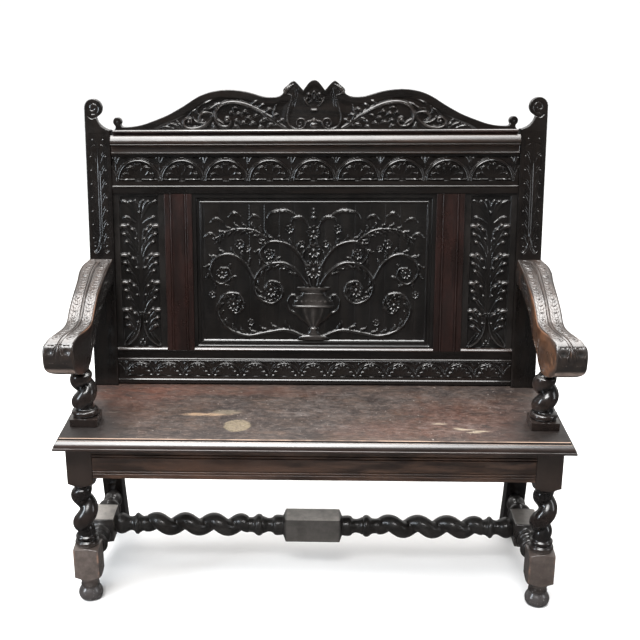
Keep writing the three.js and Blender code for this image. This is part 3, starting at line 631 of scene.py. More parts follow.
def leg_dust(nt, tc, col, rgh):
    """Dry grey scuffing on the low square blocks and a little on the feet; browner upper blocks."""
    z = height_of(nt, tc)[2]
    n = levels(nt, noise(nt, tc, 34, 6, .7), .28, .72, .45, 1.0)
    fine = levels(nt, noise(nt, tc, 210, 4, .7), .35, .65, .84, 1.0)
    m = calc(nt, "MULTIPLY", levels(nt, z, .145, .165, .47, 0.0), levels(nt, z, .036, .066, .35, 1.0))
    m = calc(nt, "MULTIPLY", m, calc(nt, "MULTIPLY", n, fine))
    m = calc(nt, "MULTIPLY", m, levels(nt, height_of(nt, tc)[0], -.4, .4, 1.0, .66))
    col = mix(nt, m, col, (.215, .170, .148))
    u = calc(nt, "MULTIPLY", levels(nt, z, .312, .332), levels(nt, z, .446, .454, 1.0, 0.0))
    col = mix(nt, calc(nt, "MULTIPLY", u, n), col, (.0265, .0165, .0122))
    foot = calc(nt, "MULTIPLY", levels(nt, z, .030, .044, .62, 0.0), levels(nt, noise(nt, tc, 90, 6, .75), .32, .62, .4, 1.0))
    col = mix(nt, foot, col, (.066, .063, .064))
    edge = levels(nt, node(nt, "ShaderNodeAttribute", attribute_name="rise").outputs["Fac"], .88, .97)
    edge = calc(nt, "MULTIPLY", calc(nt, "MULTIPLY", edge, levels(nt, z, .14, .16, .4, 0.0)), levels(nt, noise(nt, tc, 22, 5, .7), .48, .64))
    col = mix(nt, edge, col, (.30, .165, .105))
    specks = calc(nt, "MULTIPLY", levels(nt, noise(nt, tc, 300, 2, .5), .66, .71), levels(nt, z, .05, .08, .7, 0.0))
    col = mix(nt, specks, col, (.35, .33, .32))
    return col, calc(nt, "ADD", rgh, calc(nt, "MULTIPLY", calc(nt, "ADD", m, calc(nt, "MULTIPLY", u, .3)), .35), True)


def top_dust_and_sheen(axis, lo, hi, k_top, k_side):
    def f(nt, tc, col, rgh):
        """A square block in a stretcher: grey with dry dust on top from shoes and a painted sheen standing for the pale
        backdrop's reflection, dark at the sides.
        """
        a = height_of(nt, tc)[axis]
        mid, half = (lo + hi) / 2, (hi - lo) / 2
        m = levels(nt, calc(nt, "ABSOLUTE", calc(nt, "SUBTRACT", a, mid)), half - .004, half + .004, 1.0, 0.0)
        up = facing_up(nt)
        m = calc(nt, "MULTIPLY", m, calc(nt, "ADD", calc(nt, "MULTIPLY", up, k_top - k_side), k_side))
        m = calc(nt, "MULTIPLY", m, levels(nt, noise(nt, tc, 30, 6, .7), .3, .65, .62, 1.0))
        if axis == 1:
            m = calc(nt, "MULTIPLY", m, levels(nt, height_of(nt, tc)[0], -.3, .3, 1.0, .4))
        # dust and painted sheen: the block's top lightened to pale grey, the sides only a little
        col = mix(nt, m, col, (.62, .565, .51))
        return col, calc(nt, "ADD", rgh, calc(nt, "MULTIPLY", m, .3), True)
    return f


def ledge_dust_and_highlight(nt, tc, col, rgh):
    """Pale dust along the top of the ledge with a painted highlight over it, thinner in places and weaker towards the
    ends, most towards the right.
    """
    mp = node(nt, "ShaderNodeMapping")
    mp.inputs["Scale"].default_value = (1, .3, .3)
    nt.links.new(tc, mp.inputs["Vector"])
    m = calc(nt, "MULTIPLY", facing_up(nt, .34, .62), levels(nt, noise(nt, mp.outputs[0], 5.2, 3, .55), .38, .56, .35, 1.0))
    x = height_of(nt, tc)[0]
    # painted highlight: strongest left of the middle, weaker at the left end and weakest at the right
    m = calc(nt, "MULTIPLY", m, calc(nt, "MULTIPLY", levels(nt, x, -.36, -.28, .3, 1.0), levels(nt, x, .04, .22, 1.0, .13)))
    return mix(nt, m, col, (.36, .345, .33)), calc(nt, "ADD", rgh, calc(nt, "MULTIPLY", m, .3), True)


def arm_tone(nt, tc, col, rgh):
    """Mottled wear on the sides, rubbed orange towards the front; painted shade on the front of the roll and on the
    left arm's inner side, and a painted reflection of the floor as a paler strip low on the roll.
    """
    x = nt.nodes.new("ShaderNodeSeparateXYZ")
    nt.links.new(node(nt, "ShaderNodeNewGeometry").outputs["Normal"], x.inputs[0])
    y = height_of(nt, tc)[1]
    at = levels(nt, y, -.200, -.180, 1.0, 0.0)
    flat = levels(nt, calc(nt, "ABSOLUTE", x.outputs[0]), .35, .7, 1.0, 0.0)
    side = calc(nt, "MULTIPLY", levels(nt, calc(nt, "ABSOLUTE", x.outputs[0]), .75, .95), .8)
    col = mix(nt, calc(nt, "MULTIPLY", side, levels(nt, noise(nt, tc, 26, 5, .7, .6), .46, .66)), col, (.045, .019, .010))
    col = mix(nt, calc(nt, "MULTIPLY", calc(nt, "MULTIPLY", side, at), levels(nt, noise(nt, tc, 19, 5, .65, .5), .50, .68, 0.0, .45)), col, (.34, .185, .105))
    # painted shade: the front of the roll darkened where it faces forward
    m = calc(nt, "MULTIPLY", calc(nt, "MULTIPLY", at, flat), levels(nt, x.outputs[1], -.85, -.40, .64, 0.0))
    col = mix(nt, m, col, (.0065, .0048, .0042))
    # painted shade: the inner side of the left arm darkened
    inner = calc(nt, "MULTIPLY", levels(nt, x.outputs[0], .6, .9), levels(nt, height_of(nt, tc)[0], -.01, .01, .93, 0.0))
    col = mix(nt, inner, col, (.0062, .0046, .004))
    # painted reflection of the floor: a paler strip on the downward-facing lower part of the roll
    low = calc(nt, "MULTIPLY", levels(nt, x.outputs[2], -.62, -.34, 1.0, 0.0), levels(nt, x.outputs[2], -.93, -.80))
    low = calc(nt, "MULTIPLY", calc(nt, "MULTIPLY", low, flat), calc(nt, "MULTIPLY", levels(nt, noise(nt, tc, 30, 5, .6), .3, .6, .4, .85), levels(nt, y, -.175, -.165, 1.0, 0.0)))
    col = mix(nt, low, col, (.19, .14, .115))
    return col, rgh


# the stretcher blocks' tops carry dust and a painted sheen
block_dust_and_sheen = top_dust_and_sheen(0, -.068, .068, 1.0, .085)
side_block_dust_and_sheen = top_dust_and_sheen(1, -.0545, .0225, 1.0, .12)


M = {}
for ax in "XYZ":
    M["carved" + ax] = oak("oak_carved_" + ax.lower(), ax, BLACK, BROWN, (.070, .058, .051), rough=(.28, .44), wear=.34, coat=.9, coat_rough=.11, grain=.7, spec=.18, bump=.12, coat_ior=1.6)
M["panel"] = oak("oak_panel", "Z", (.0034, .0029, .0026), (.0078, .0063, .0054), (.098, .085, .077), rough=(.28, .46), wear=.42, coat=.95, coat_rough=.11, grain=.7, spec=.22, bump=.14, coat_ior=1.6)
M["frameX"] = oak("oak_frame_x", "X", (.012, .0068, .0052), (.032, .0155, .011), (.10, .06, .042), rough=(.25, .42), wear=.3, coat=.75, coat_rough=.13, spec=.35)
M["frameZ"] = oak("oak_frame_z", "Z", (.0105, .0055, .0046), (.021, .0092, .0075), (.08, .045, .034), rough=(.27, .45), wear=.45, coat=.5, coat_rough=.14, spec=.25)
M["frameY"] = oak("oak_frame_y", "Y", (.022, .0125, .0095), (.052, .026, .0185), (.10, .06, .042), rough=(.3, .5), wear=.3, coat=.3)
M["apron"] = oak("oak_apron", "X", (.024, .0112, .0062), (.068, .0315, .0165), (.10, .06, .04), rough=(.36, .55), wear=.3, coat=.35, coat_rough=.22, bump=.3,
                 patches=.4, patch_col=(.078, .031, .0145), run=.22)
M["apronY"] = oak("oak_apron_y", "Y", (.028, .0155, .0108), (.066, .035, .0235), (.10, .06, .04), rough=(.34, .55), wear=.3, coat=.25, coat_rough=.2, dust=.1)
M["turnedZ"] = oak("oak_turned_z", "Z", (.0036, .0030, .0029), (.0086, .0064, .0058), (.10, .048, .030), rough=(.22, .38), wear=.13, coat=1.0, coat_rough=.09,
                   dust=.015, dust_up=.035, dust_col=(.2, .185, .175), spec=.3, extra=leg_dust, bump=.15)
M["turnedX"] = oak("oak_turned_x", "X", (.0064, .0056, .0050), (.0175, .0145, .0128), (.06, .052, .046), rough=(.28, .46), wear=.22, coat=.6, coat_rough=.18,
                   dust=.05, dust_up=.11, dust_col=(.2, .19, .18), spec=.3, extra=block_dust_and_sheen)
M["turnedY"] = oak("oak_turned_y", "Y", (.0062, .0052, .0046), (.0165, .0125, .0108), (.06, .046, .04), rough=(.26, .44), wear=.22, coat=.7, coat_rough=.14,
                   dust=.05, dust_up=.12, dust_col=(.2, .19, .18), spec=.3, extra=side_block_dust_and_sheen)
M["seat"] = oak("oak_seat", "X", (.026, .0175, .0138), (.070, .043, .0300), (.2, .14, .1), rough=(.38, .62), wear=.3, coat=.16, coat_rough=.3,
                dust=.12, dust_col=(.13, .108, .10), patches=.35, patch_col=(.088, .037, .022), spec=.4, extra=seat_marks_and_shadow, run=.3)
M["edge"] = oak("oak_edge", "X", (.012, .0072, .0056), (.030, .016, .0118), (.12, .075, .052), rough=(.3, .42), wear=.3, coat=1.0, coat_rough=.17, spec=.5, coat_ior=1.65, bump=.05)
M["ledge"] = oak("oak_ledge", "X", (.010, .0058, .0050), (.024, .0125, .0100), (.12, .075, .052), rough=(.3, .42), wear=.3, coat=.8, coat_rough=.2, spec=.4, bump=.05, extra=ledge_dust_and_highlight)
M["cornice"] = oak("oak_cornice", "X", (.0105, .0058, .0036), (.026, .0125, .0072), (.12, .075, .052), rough=(.32, .46), wear=.3, coat=1.0, coat_rough=.24, spec=.35, coat_ior=1.5, bump=.05)
# the arms' carved cuts are darkened with painted shade
M["arm"] = oak("oak_arm", "Y", (.0155, .0098, .0072), (.046, .029, .0205), (.21, .088, .036), rough=(.26, .44), wear=.85, coat=1.0, coat_rough=.16,
               dust=.05, dust_col=(.17, .15, .14), coat_ior=1.6, spec=.45, bump=.15, cut_shade=.95, extra=arm_tone)
M["hidden"] = oak("oak_hidden", "X", (.11, .07, .04), (.24, .16, .1), (.3, .2, .13), rough=(.6, .8), wear=.0, coat=0.0, dust=.2)


# ------------------------------------------------------------------- lunettes
def lunette(F, cx, cz, R, k, D):
    """A half-round arch of radius R on a base line cz, with a five-petalled half rosette."""
    i = F.near(cx - R - 1, cx + R + 1, cz - 2, cz + R + 1)
    dx, dz = F.X[i] - cx, F.Y[i] - cz
    r = np.hypot(dx, dz)
    above = dz > -.6
    bw = 6.6 * k
    inner = (r < R - bw) & above
    wall = ramp(r, R - bw - 1.1, R - bw + .1)
    Z = F.Z[i]
    Z = np.where(above & (r < R - bw + .2), D * wall * ramp(-dz, -1.2, .2) + D * (1 - ramp(-dz, -1.2, .2)) * wall + 0 * Z, Z)
    band = above & (r >= R - bw) & (r <= R + .2)
    g = np.exp(-((r - (R - bw * .5)) / (1.15 * k)) ** 2)
    cw = max(1.25, 1.35 * k)
    crown = .35 * np.exp(-((r - (R - bw * .84)) / cw) ** 2) + np.exp(-((r - (R - bw * .22)) / cw) ** 2)
    Z = np.where(band, D - 1.2 * g + crown * (1.05 if k > .9 else .5), Z)
    # five scooped petals, parted by ribs that fan out from the middle of the base
    th = np.arctan2(np.maximum(dz, 0), dx)
    f = (th - math.radians(18)) / math.radians(36)
    off = (f - np.round(f)) * math.radians(36)
    lob = np.cos(np.clip(off * 5, -math.pi / 2, math.pi / 2))
    Rp = (27.0 + 13.6 * lob ** .55) * k
    Rp = np.where(np.abs(th - math.pi / 2) < math.radians(18), Rp + 2.6 * k - 4.0 * k * np.exp(-((th - math.pi / 2) / .07) ** 2), Rp)
    q = r / Rp
    pet = D * (.10 + .95 * q ** 3.2) * (1 - ramp(q, .96, 1.05))
    rib = np.exp(-((np.abs(np.abs(off) - math.radians(18)) * r) / (1.15 * k)) ** 2)
    pet = np.maximum(pet, D * .36 * rib * (q < 1.0) * ramp(r, 9 * k, 20 * k))
    vein = np.exp(-(off * r / (.9 * k)) ** 2) * (q < .8) * (r > 12 * k)
    pet = pet + D * .07 * vein
    pet = np.where((q < 1.05) & inner & (dz > 3.4 * k) & (r > 3.2 * k), pet, 0)
    Z = np.where(inner, np.maximum((D * wall) * (r > R - bw - 1.1), pet), Z)
    F.Z[i] = Z
    # bright tips of the petals, centre dart, base bars, eyes
    F.stroke([(cx, cz + 8 * k), (cx, cz + 18 * k), (cx, cz + 28 * k)], [1.2 * k, 2.1 * k, .9 * k], [D * .15, D * .32, D * .12], "soft")
    t = 1.0 if k > .9 else .4
    for s in (-1, 1):
        F.stroke([(cx + s * 1.4 * k, cz + 40.2 * k), (cx + s * 7 * k, cz + 42.6 * k), (cx + s * 13 * k, cz + 39.4 * k)], [1.1 * k, 2.0 * k, 1.0 * k], [D * .7 * t, D * 1.0 * t, D * .6 * t], "round")
        F.stroke([(cx + s * 23.4 * k, cz + 33.4 * k), (cx + s * 27.8 * k, cz + 31.2 * k), (cx + s * 31.4 * k, cz + 27.2 * k)], [1.1 * k, 2.4 * k, 1.0 * k], [D * .7 * t, D * 1.04 * t, D * .6 * t], "round")
        F.stroke([(cx + s * 36.2 * k, cz + 19.4 * k), (cx + s * 37.8 * k, cz + 15.6 * k), (cx + s * 38.2 * k, cz + 11.4 * k)], [1.1 * k, 2.4 * k, 1.0 * k], [D * .7 * t, D * 1.04 * t, D * .6 * t], "round")
        F.stroke([(cx + s * 9.5 * k, cz + 1.6 * k), (cx + s * 45.2 * k, cz + 1.6 * k)], 1.9 * k, D + .15 if k > .9 else D * .46, "round")
        F.stroke([(cx + s * 12 * k, cz + 7.4 * k), (cx + s * 22 * k, cz + 12.6 * k), (cx + s * 29.5 * k, cz + 12.2 * k), (cx + s * 31 * k, cz + 8.6 * k), (cx + s * 26.5 * k, cz + 7.2 * k)], [.8 * k, 1.5 * k, 2.0 * k, 1.6 * k, .9 * k], [D * .2, D * .32, D * .5, D * .42, D * .2], "soft")
    F.blob(cx, cz + .5, 5.0 * k, 4.6 * k, D * .3)


def spandrel(F, cx, cz, R, half, top, k, D):
    """The sunk ground between two arches, with a fluted dart and two bars above it."""
    i = F.near(cx - half, cx + half, cz + 3, top)
    dx, dz = F.X[i] - cx, F.Y[i] - cz
    left = np.hypot(dx + half, dz) - R
    right = np.hypot(dx - half, dz) - R
    d = np.minimum(np.minimum(left, right), top - cz - dz)
    F.Z[i] = np.where(d > 0, D * (1 - ramp(d, 0.1, 1.6)) + .2, F.Z[i])
    z0, z1 = cz + R * .42, top - 3.4 * k
    for s, e in ((-1, -8.2), (0, 0), (1, 8.2)):
        F.stroke([(cx, z0), (cx + s * 1.6 * k, (z0 + z1) / 2), (cx + e * k, z1 - abs(s) * 1.5 * k)], [.7 * k, 2.2 * k, 3.0 * k], [D * .2, D * .38, D * .5], "soft")
    for s in (-1, 1):
        F.stroke([(cx + s * 15 * k, top - 3.0 * k), (cx + s * 27 * k, top - 2.6 * k)], 1.3 * k, D * .95, "round")


def bead(F, z, w, h, x0=-600, x1=600):
    """A thin raised bead along a rail with a quirk on each side."""
    d = np.abs(F.Y - z)
    m = (F.X > x0) & (F.X < x1)
    F.Z = np.where(m & (d < w), F.Z + h * np.sqrt(np.clip(1 - (d / w) ** 2, 0, 1)), F.Z)
    F.Z = np.where(m & (d >= w) & (d < w + 1.3), F.Z - .9 * np.sin((d - w) / 1.3 * math.pi), F.Z)


def finish_board(F, D, face_n, xs, hs, rad=1.2, ends=True):
    """Height map -> depth behind the posts' faces, with rounded outer edges."""
    X, Y = F.X, F.Y
    d = np.minimum(X - xs[0], xs[-1] - X)
    if ends:
        d = np.minimum.reduce([d, Y - hs[0], hs[-1] - Y])
    n = face_n + D - F.Z + edge_round(d, rad)
    rise = np.clip(F.Z / D, 0, 1) * .5 + np.clip((F.Z - D) / 2.0, 0, 1) * .5
    return n.reshape(F.shape), rise.reshape(F.shape)


STEP = 1.15 if FINE else 2.3
inX = POST_IN - .3

# upper rail, nine lunettes
D = 3.6
xs = axis_points(-inX, inX, STEP)
hs = axis_points(H(TOP_RAIL[0]) + .2, H(TOP_RAIL[1]), STEP)
F = Field(*np.meshgrid(xs, hs), D)
PITCH, base_u = 109.6, H(985.5)
R_u = PITCH / 2 - .2
for k in range(-4, 5):
    lunette(F, k * PITCH, base_u, R_u, 1.0, D)
for k in range(-5, 5):
    spandrel(F, (k + .5) * PITCH, base_u, R_u, PITCH / 2, H(1044.6), 1.0, D)
bead(F, H(970.6), 2.1, 1.9)
n, rise = finish_board(F, D, RAIL_N, xs, hs)
grid_board("back_top_rail_carved", xs, hs, n, RAIL_N + RAIL_T, M["carvedX"], ["back_top_rail"], rise=rise)

# lower rail, thirteen lunettes
D = 3.0
hs = axis_points(H(LOWER_RAIL[0]), H(LOWER_RAIL[1]), STEP)
F = Field(*np.meshgrid(xs, hs), D)
PITCH, base_l = 74.7, H(486.8)
R_l = PITCH / 2 - .2
for k in range(-6, 7):
    lunette(F, k * PITCH, base_l, R_l, .68, D)
for k in range(-7, 7):
    spandrel(F, (k + .5) * PITCH, base_l, R_l, PITCH / 2, H(525.6), .68, D)
bead(F, H(530.6), 2.1, 2.0)
bead(F, H(475.6), 1.8, 1.7)
n, rise = finish_board(F, D, RAIL_N, xs, hs)
grid_board("back_lower_rail_carved", xs, hs, n, RAIL_N + RAIL_T, M["carvedX"], ["back_lower_rail"], rise=rise)

# muntins: plain with two scratched beads
D = 2.0
xs = axis_points(MUNTIN[0], MUNTIN[1], .9)
hs = axis_points(H(LOWER_RAIL[1]) + .3, H(TOP_RAIL[0]) - .1, 9.0)
F = Field(*np.meshgrid(xs, hs), D)
for c in (322.0, 358.6):
    d = np.abs(F.X - c)
    F.Z += np.where(d < 1.9, 2.0 * np.sqrt(np.clip(1 - (d / 1.9) ** 2, 0, 1)), 0)
    F.Z -= np.where((d >= 1.9) & (d < 3.9), 1.2 * np.sin((d - 1.9) / 2.0 * math.pi), 0)
n, rise = finish_board(F, D, RAIL_N, xs, hs, 1.6, ends=False)
for side, mir in (("right", False), ("left", True)):
    grid_board("muntin_%s_beaded" % side, xs, hs, n, RAIL_N + RAIL_T, M["frameZ"], ["muntin_" + side], mirror=mir, rise=rise * .6)


# ----------------------------------------------------------------- side panels
def finger(F, pts, w, top, kind="full"):
    """A leaf finger: low and soft along its shaft, ending in a round tip."""
    t = np.linspace(0, 1, 9)
    F.stroke(pts, w, top * np.interp(t, [0, .35, .62, .8, .92, 1], [.16, .24, .36, .66, .8, .4]), kind)
    P = spline(pts)
    L = np.concatenate([[0], np.cumsum(np.linalg.norm(np.diff(P, axis=0), axis=1))])
    i = int(np.searchsorted(L, L[-1] * .87))
    d = P[min(i + 2, len(P) - 1)] - P[max(i - 4, 0)]
    r = max(w)
    half, k = (.78 if r > 5.5 else .42) * r, .35 * np.sign(d[0])
    F.stroke([(P[i, 0] - half, P[i, 1] - .3 - k), (P[i, 0], P[i, 1] + .4), (P[i, 0] + half, P[i, 1] - .3 + k)], [.88 * r, .96 * r, .88 * r], top, "round")


def frond(F, s, u0, z, k=1.0, D=3.5, low=True):
    """One curling acanthus frond of the side panels; s is the side, u0 the stem, z its outer tip's height."""
    def p(*a):
        return [(u0 + s * u, z - 2.2 + v) for u, v in a]
    hi = 9.0
    if low:
        finger(F, p((7, -82), (10.5, -71), (16, -60), (23, -49.5), (29, -42.6), (34.4, -41), (37.4, -45)), [1.2, 2.8, 3.8, 4.4, 4.8, 4.6, 2.2], hi * .84)
        finger(F, p((8, -66), (12.5, -53), (19.5, -40.5), (28, -29), (35, -22.2), (41, -21.2), (44, -25.6)), [1.4, 3.0, 4.2, 4.8, 5.4, 5.2, 2.2], hi * .92)
    finger(F, p((4.5, -72), (8, -53), (14, -37), (22, -21.5), (31, -8.6), (39, -1.6), (45.4, -.8), (48.6, -6)), [2.2, 3.4, 4.4, 5.0, 5.8, 6.2, 5.6, 2.4], hi)
    finger(F, p((9, -42), (14, -26), (19.5, -11.5), (24.6, -2), (29.6, 1.6), (33.4, -2.4)), [1.4, 3.0, 4.0, 4.8, 4.8, 2.2], hi * .98)
    finger(F, p((8, -46), (9.4, -32), (11.4, -19), (14, -11), (18, -9.4), (20.4, -13.6)), [1.2, 2.6, 3.6, 4.4, 4.4, 2.0], hi * .9)
    finger(F, p((5.6, -54), (6, -44), (7.4, -36), (10, -32.6), (12.6, -35.6)), [1.0, 2.0, 2.8, 3.2, 1.6], hi * .72)
    F.stroke(p((6, -62), (11, -44), (18, -28.5), (27, -15)), 1.0, [.5, 1.0, .9, .3], "soft", "cut")


def side_panel_field(xs, hs, D):
    F = Field(*np.meshgrid(xs, hs), D)
    x0, x1, z0, z1 = 391.5, 489.5, H(560.5), H(947)
    d = np.minimum.reduce([F.X - x0, x1 - F.X, F.Y - z0, z1 - F.Y])
    F.Z = D * (1 - ramp(d, -.4, 1.6)) + .35 * ramp(np.abs(F.X - 440) / 49.0, .2, 1)
    u = 440.0
    tiers = [(935.5, True), (874.7, True), (801.0, True), (731.0, True), (660.0, True)]
    for zt, low in tiers:
        for s in (-1, 1):
            if zt > 930:
                zz = H(zt)
                F.stroke([(u + s * 5, zz - 50), (u + s * 13, zz - 30), (u + s * 24, zz - 13), (u + s * 35, zz - 5), (u + s * 42, zz - 2), (u + s * 44.5, zz - 7)],
                         [2.4, 4, 5, 5.8, 4.8, 2.2], [.6, .9, 1.3, 1.9, 3.4, 1.6], "full")
                F.stroke([(u + s * 8, zz - 34), (u + s * 13, zz - 18), (u + s * 18, zz - 7), (u + s * 24, zz - 3), (u + s * 27, zz - 8)], [1.6, 3.4, 4.6, 4.4, 1.8], [.6, .9, 1.5, 3.0, 1.6], "full")
                F.stroke([(u + s * 2, zz - 30), (u + s * 4, zz - 12), (u + s * 9, zz - 1), (u + s * 13, zz - 1)], [1.4, 3.4, 4.2, 1.8], [.9, 1.4, 2.4, 1.4], "full")
                F.stroke([(u + s * 9, zz - 57), (u + s * 20, zz - 51), (u + s * 30, zz - 44.5), (u + s * 37, zz - 43), (u + s * 40, zz - 48)], [1.6, 3.8, 5.0, 4.8, 2.2], [1.0, 1.5, 2.8, 6.4, 3], "full")
            else:
                frond(F, s, u, H(zt), D=D, low=low)
    # central stem with two ribs
    F.stroke([(u, H(902)), (u, H(800)), (u, H(640))], [2.4, 7.0, 8.6], [.7, 1.1, 1.7], "soft")
    F.stroke([(u, H(898)), (u, H(645))], [1.2, 2.2], [.4, 1.0], "soft", "cut")
    F.blob(u, H(905), 4.0, 4.6, 5.4)
    # stems opening at the foot
    for s in (-1, 1):
        pts = [(u + s * 4.5, H(648)), (u + s * 6.5, H(622)), (u + s * 12, H(600)), (u + s * 23, H(582)), (u + s * 37, H(570.5)), (u + s * 48, H(565.5))]
        F.stroke(pts, [4.0, 5.2, 7.0, 8.0, 6.2, 1.6], [4.4, 4.0, 3.4, 3.4, 3.8, 4.4], "cup")
        F.stroke([(a - s * 1.6, b - 2.6) for a, b in pts], [1.4, 1.9, 2.2, 2.3, 2.1, 1.4], [5.0, 6.0, 7.2, 8.0, 8.0, 6.4], "round")
        F.stroke([(u + s * 48, H(565.5)), (u + s * 45, H(574)), (u + s * 37, H(585)), (u + s * 25, H(600))], [1.4, 2.1, 2.0, .9], [7.0, 6.4, 5.0, 2.8], "round")
        F.stroke([(u + s * 15, H(600)), (u + s * 25, H(607)), (u + s * 33, H(614)), (u + s * 39.5, H(617)), (u + s * 42.0, H(612))], [1.4, 3.6, 4.8, 5.0, 2.0], [2.2, 3.2, 4.6, 6.4, 3], "full")
        F.stroke([(u + s * 1.6, H(566)), (u + s * 7, H(568.4)), (u + s * 12.5, H(564.6))], [1, 1.4, .8], [2, 3, 1.6], "round")
    for a, b in ((0, 578.6), (-5.6, 571.6), (5.6, 571.6)):
        F.blob(u + a, H(b), 3.5, 3.5, 3.6)
    return F


D = 5.2
pst = 1.0 if FINE else 2.2
xs = axis_points(MUNTIN[1] + .3, POST_IN - .3, pst)
hs = axis_points(H(LOWER_RAIL[1]) + .3, H(TOP_RAIL[0]) - .1, pst)
F = side_panel_field(xs, hs, D)
n, rise = finish_board(F, D, PANEL_N - .4, xs, hs, .4)
for side, mir in (("right", False), ("left", True)):
    grid_board("side_panel_%s_carved" % side, xs, hs, n, PANEL_N + PANEL_T, M["panel"], ["side_panel_" + side], mirror=mir, rise=rise)


# ---------------------------------------------------------------- centre panel
def rosette(F, x, z, r, h, petals=8, a=0.0):
    i = F.near(x - r, x + r, z - r, z + r)
    dx, dz = F.X[i] - x, F.Y[i] - z
    rr, th = np.hypot(dx, dz), np.arctan2(dz, dx) + a
    lob = np.abs(np.cos(petals / 2 * th))
    Rp = r * (.62 + .38 * lob ** .6)
    q = rr / Rp
    z0 = h * (.42 + .58 * q ** 3) * (1 - ramp(q, .95, 1.04))
    F.Z[i] = np.where(q < 1.04, np.maximum(F.Z[i], z0), F.Z[i])
    F.blob(x, z, r * .26, r * .26, h * 1.1)
    F.ring(x, z, r * .33, r * .05, -h * .0, how="max")


def leafy(F, pts, w, h, n=5, s=1, lean=1.0, first=.12):
    """A stem with a row of lobed leaflets along one side (s) or both (s=0)."""
    P = spline(pts, 1.0)
    L = np.concatenate([[0], np.cumsum(np.linalg.norm(np.diff(P, axis=0), axis=1))])
    F.stroke(pts, [w * .7, w * .5, w * .28], [h * .8, h * .9, h * .6], "round")
    for k in range(n):
        t = first + (1 - first) * k / n
        j = min(len(P) - 2, int(np.searchsorted(L, t * L[-1])))
        d = P[min(j + 3, len(P) - 1)] - P[max(j - 3, 0)]
        d /= np.linalg.norm(d) + 1e-9
        size = w * (2.5 - 1.2 * t)
        for ss in ((1, -1) if s == 0 else (s,)):
            nv = np.array([-d[1], d[0]]) * ss
            a = P[j]
            b = a + d * size * .55 + nv * size * .55
            c = a + d * size * 1.25 + nv * size * 1.0
            e = a + d * size * 1.35 + nv * size * 1.45
            F.stroke([a, b, c, e], [w * .25, w * .55, w * .52, w * .2], [h * .5, h * .8, h * 1.1, h * .7], "leaf")


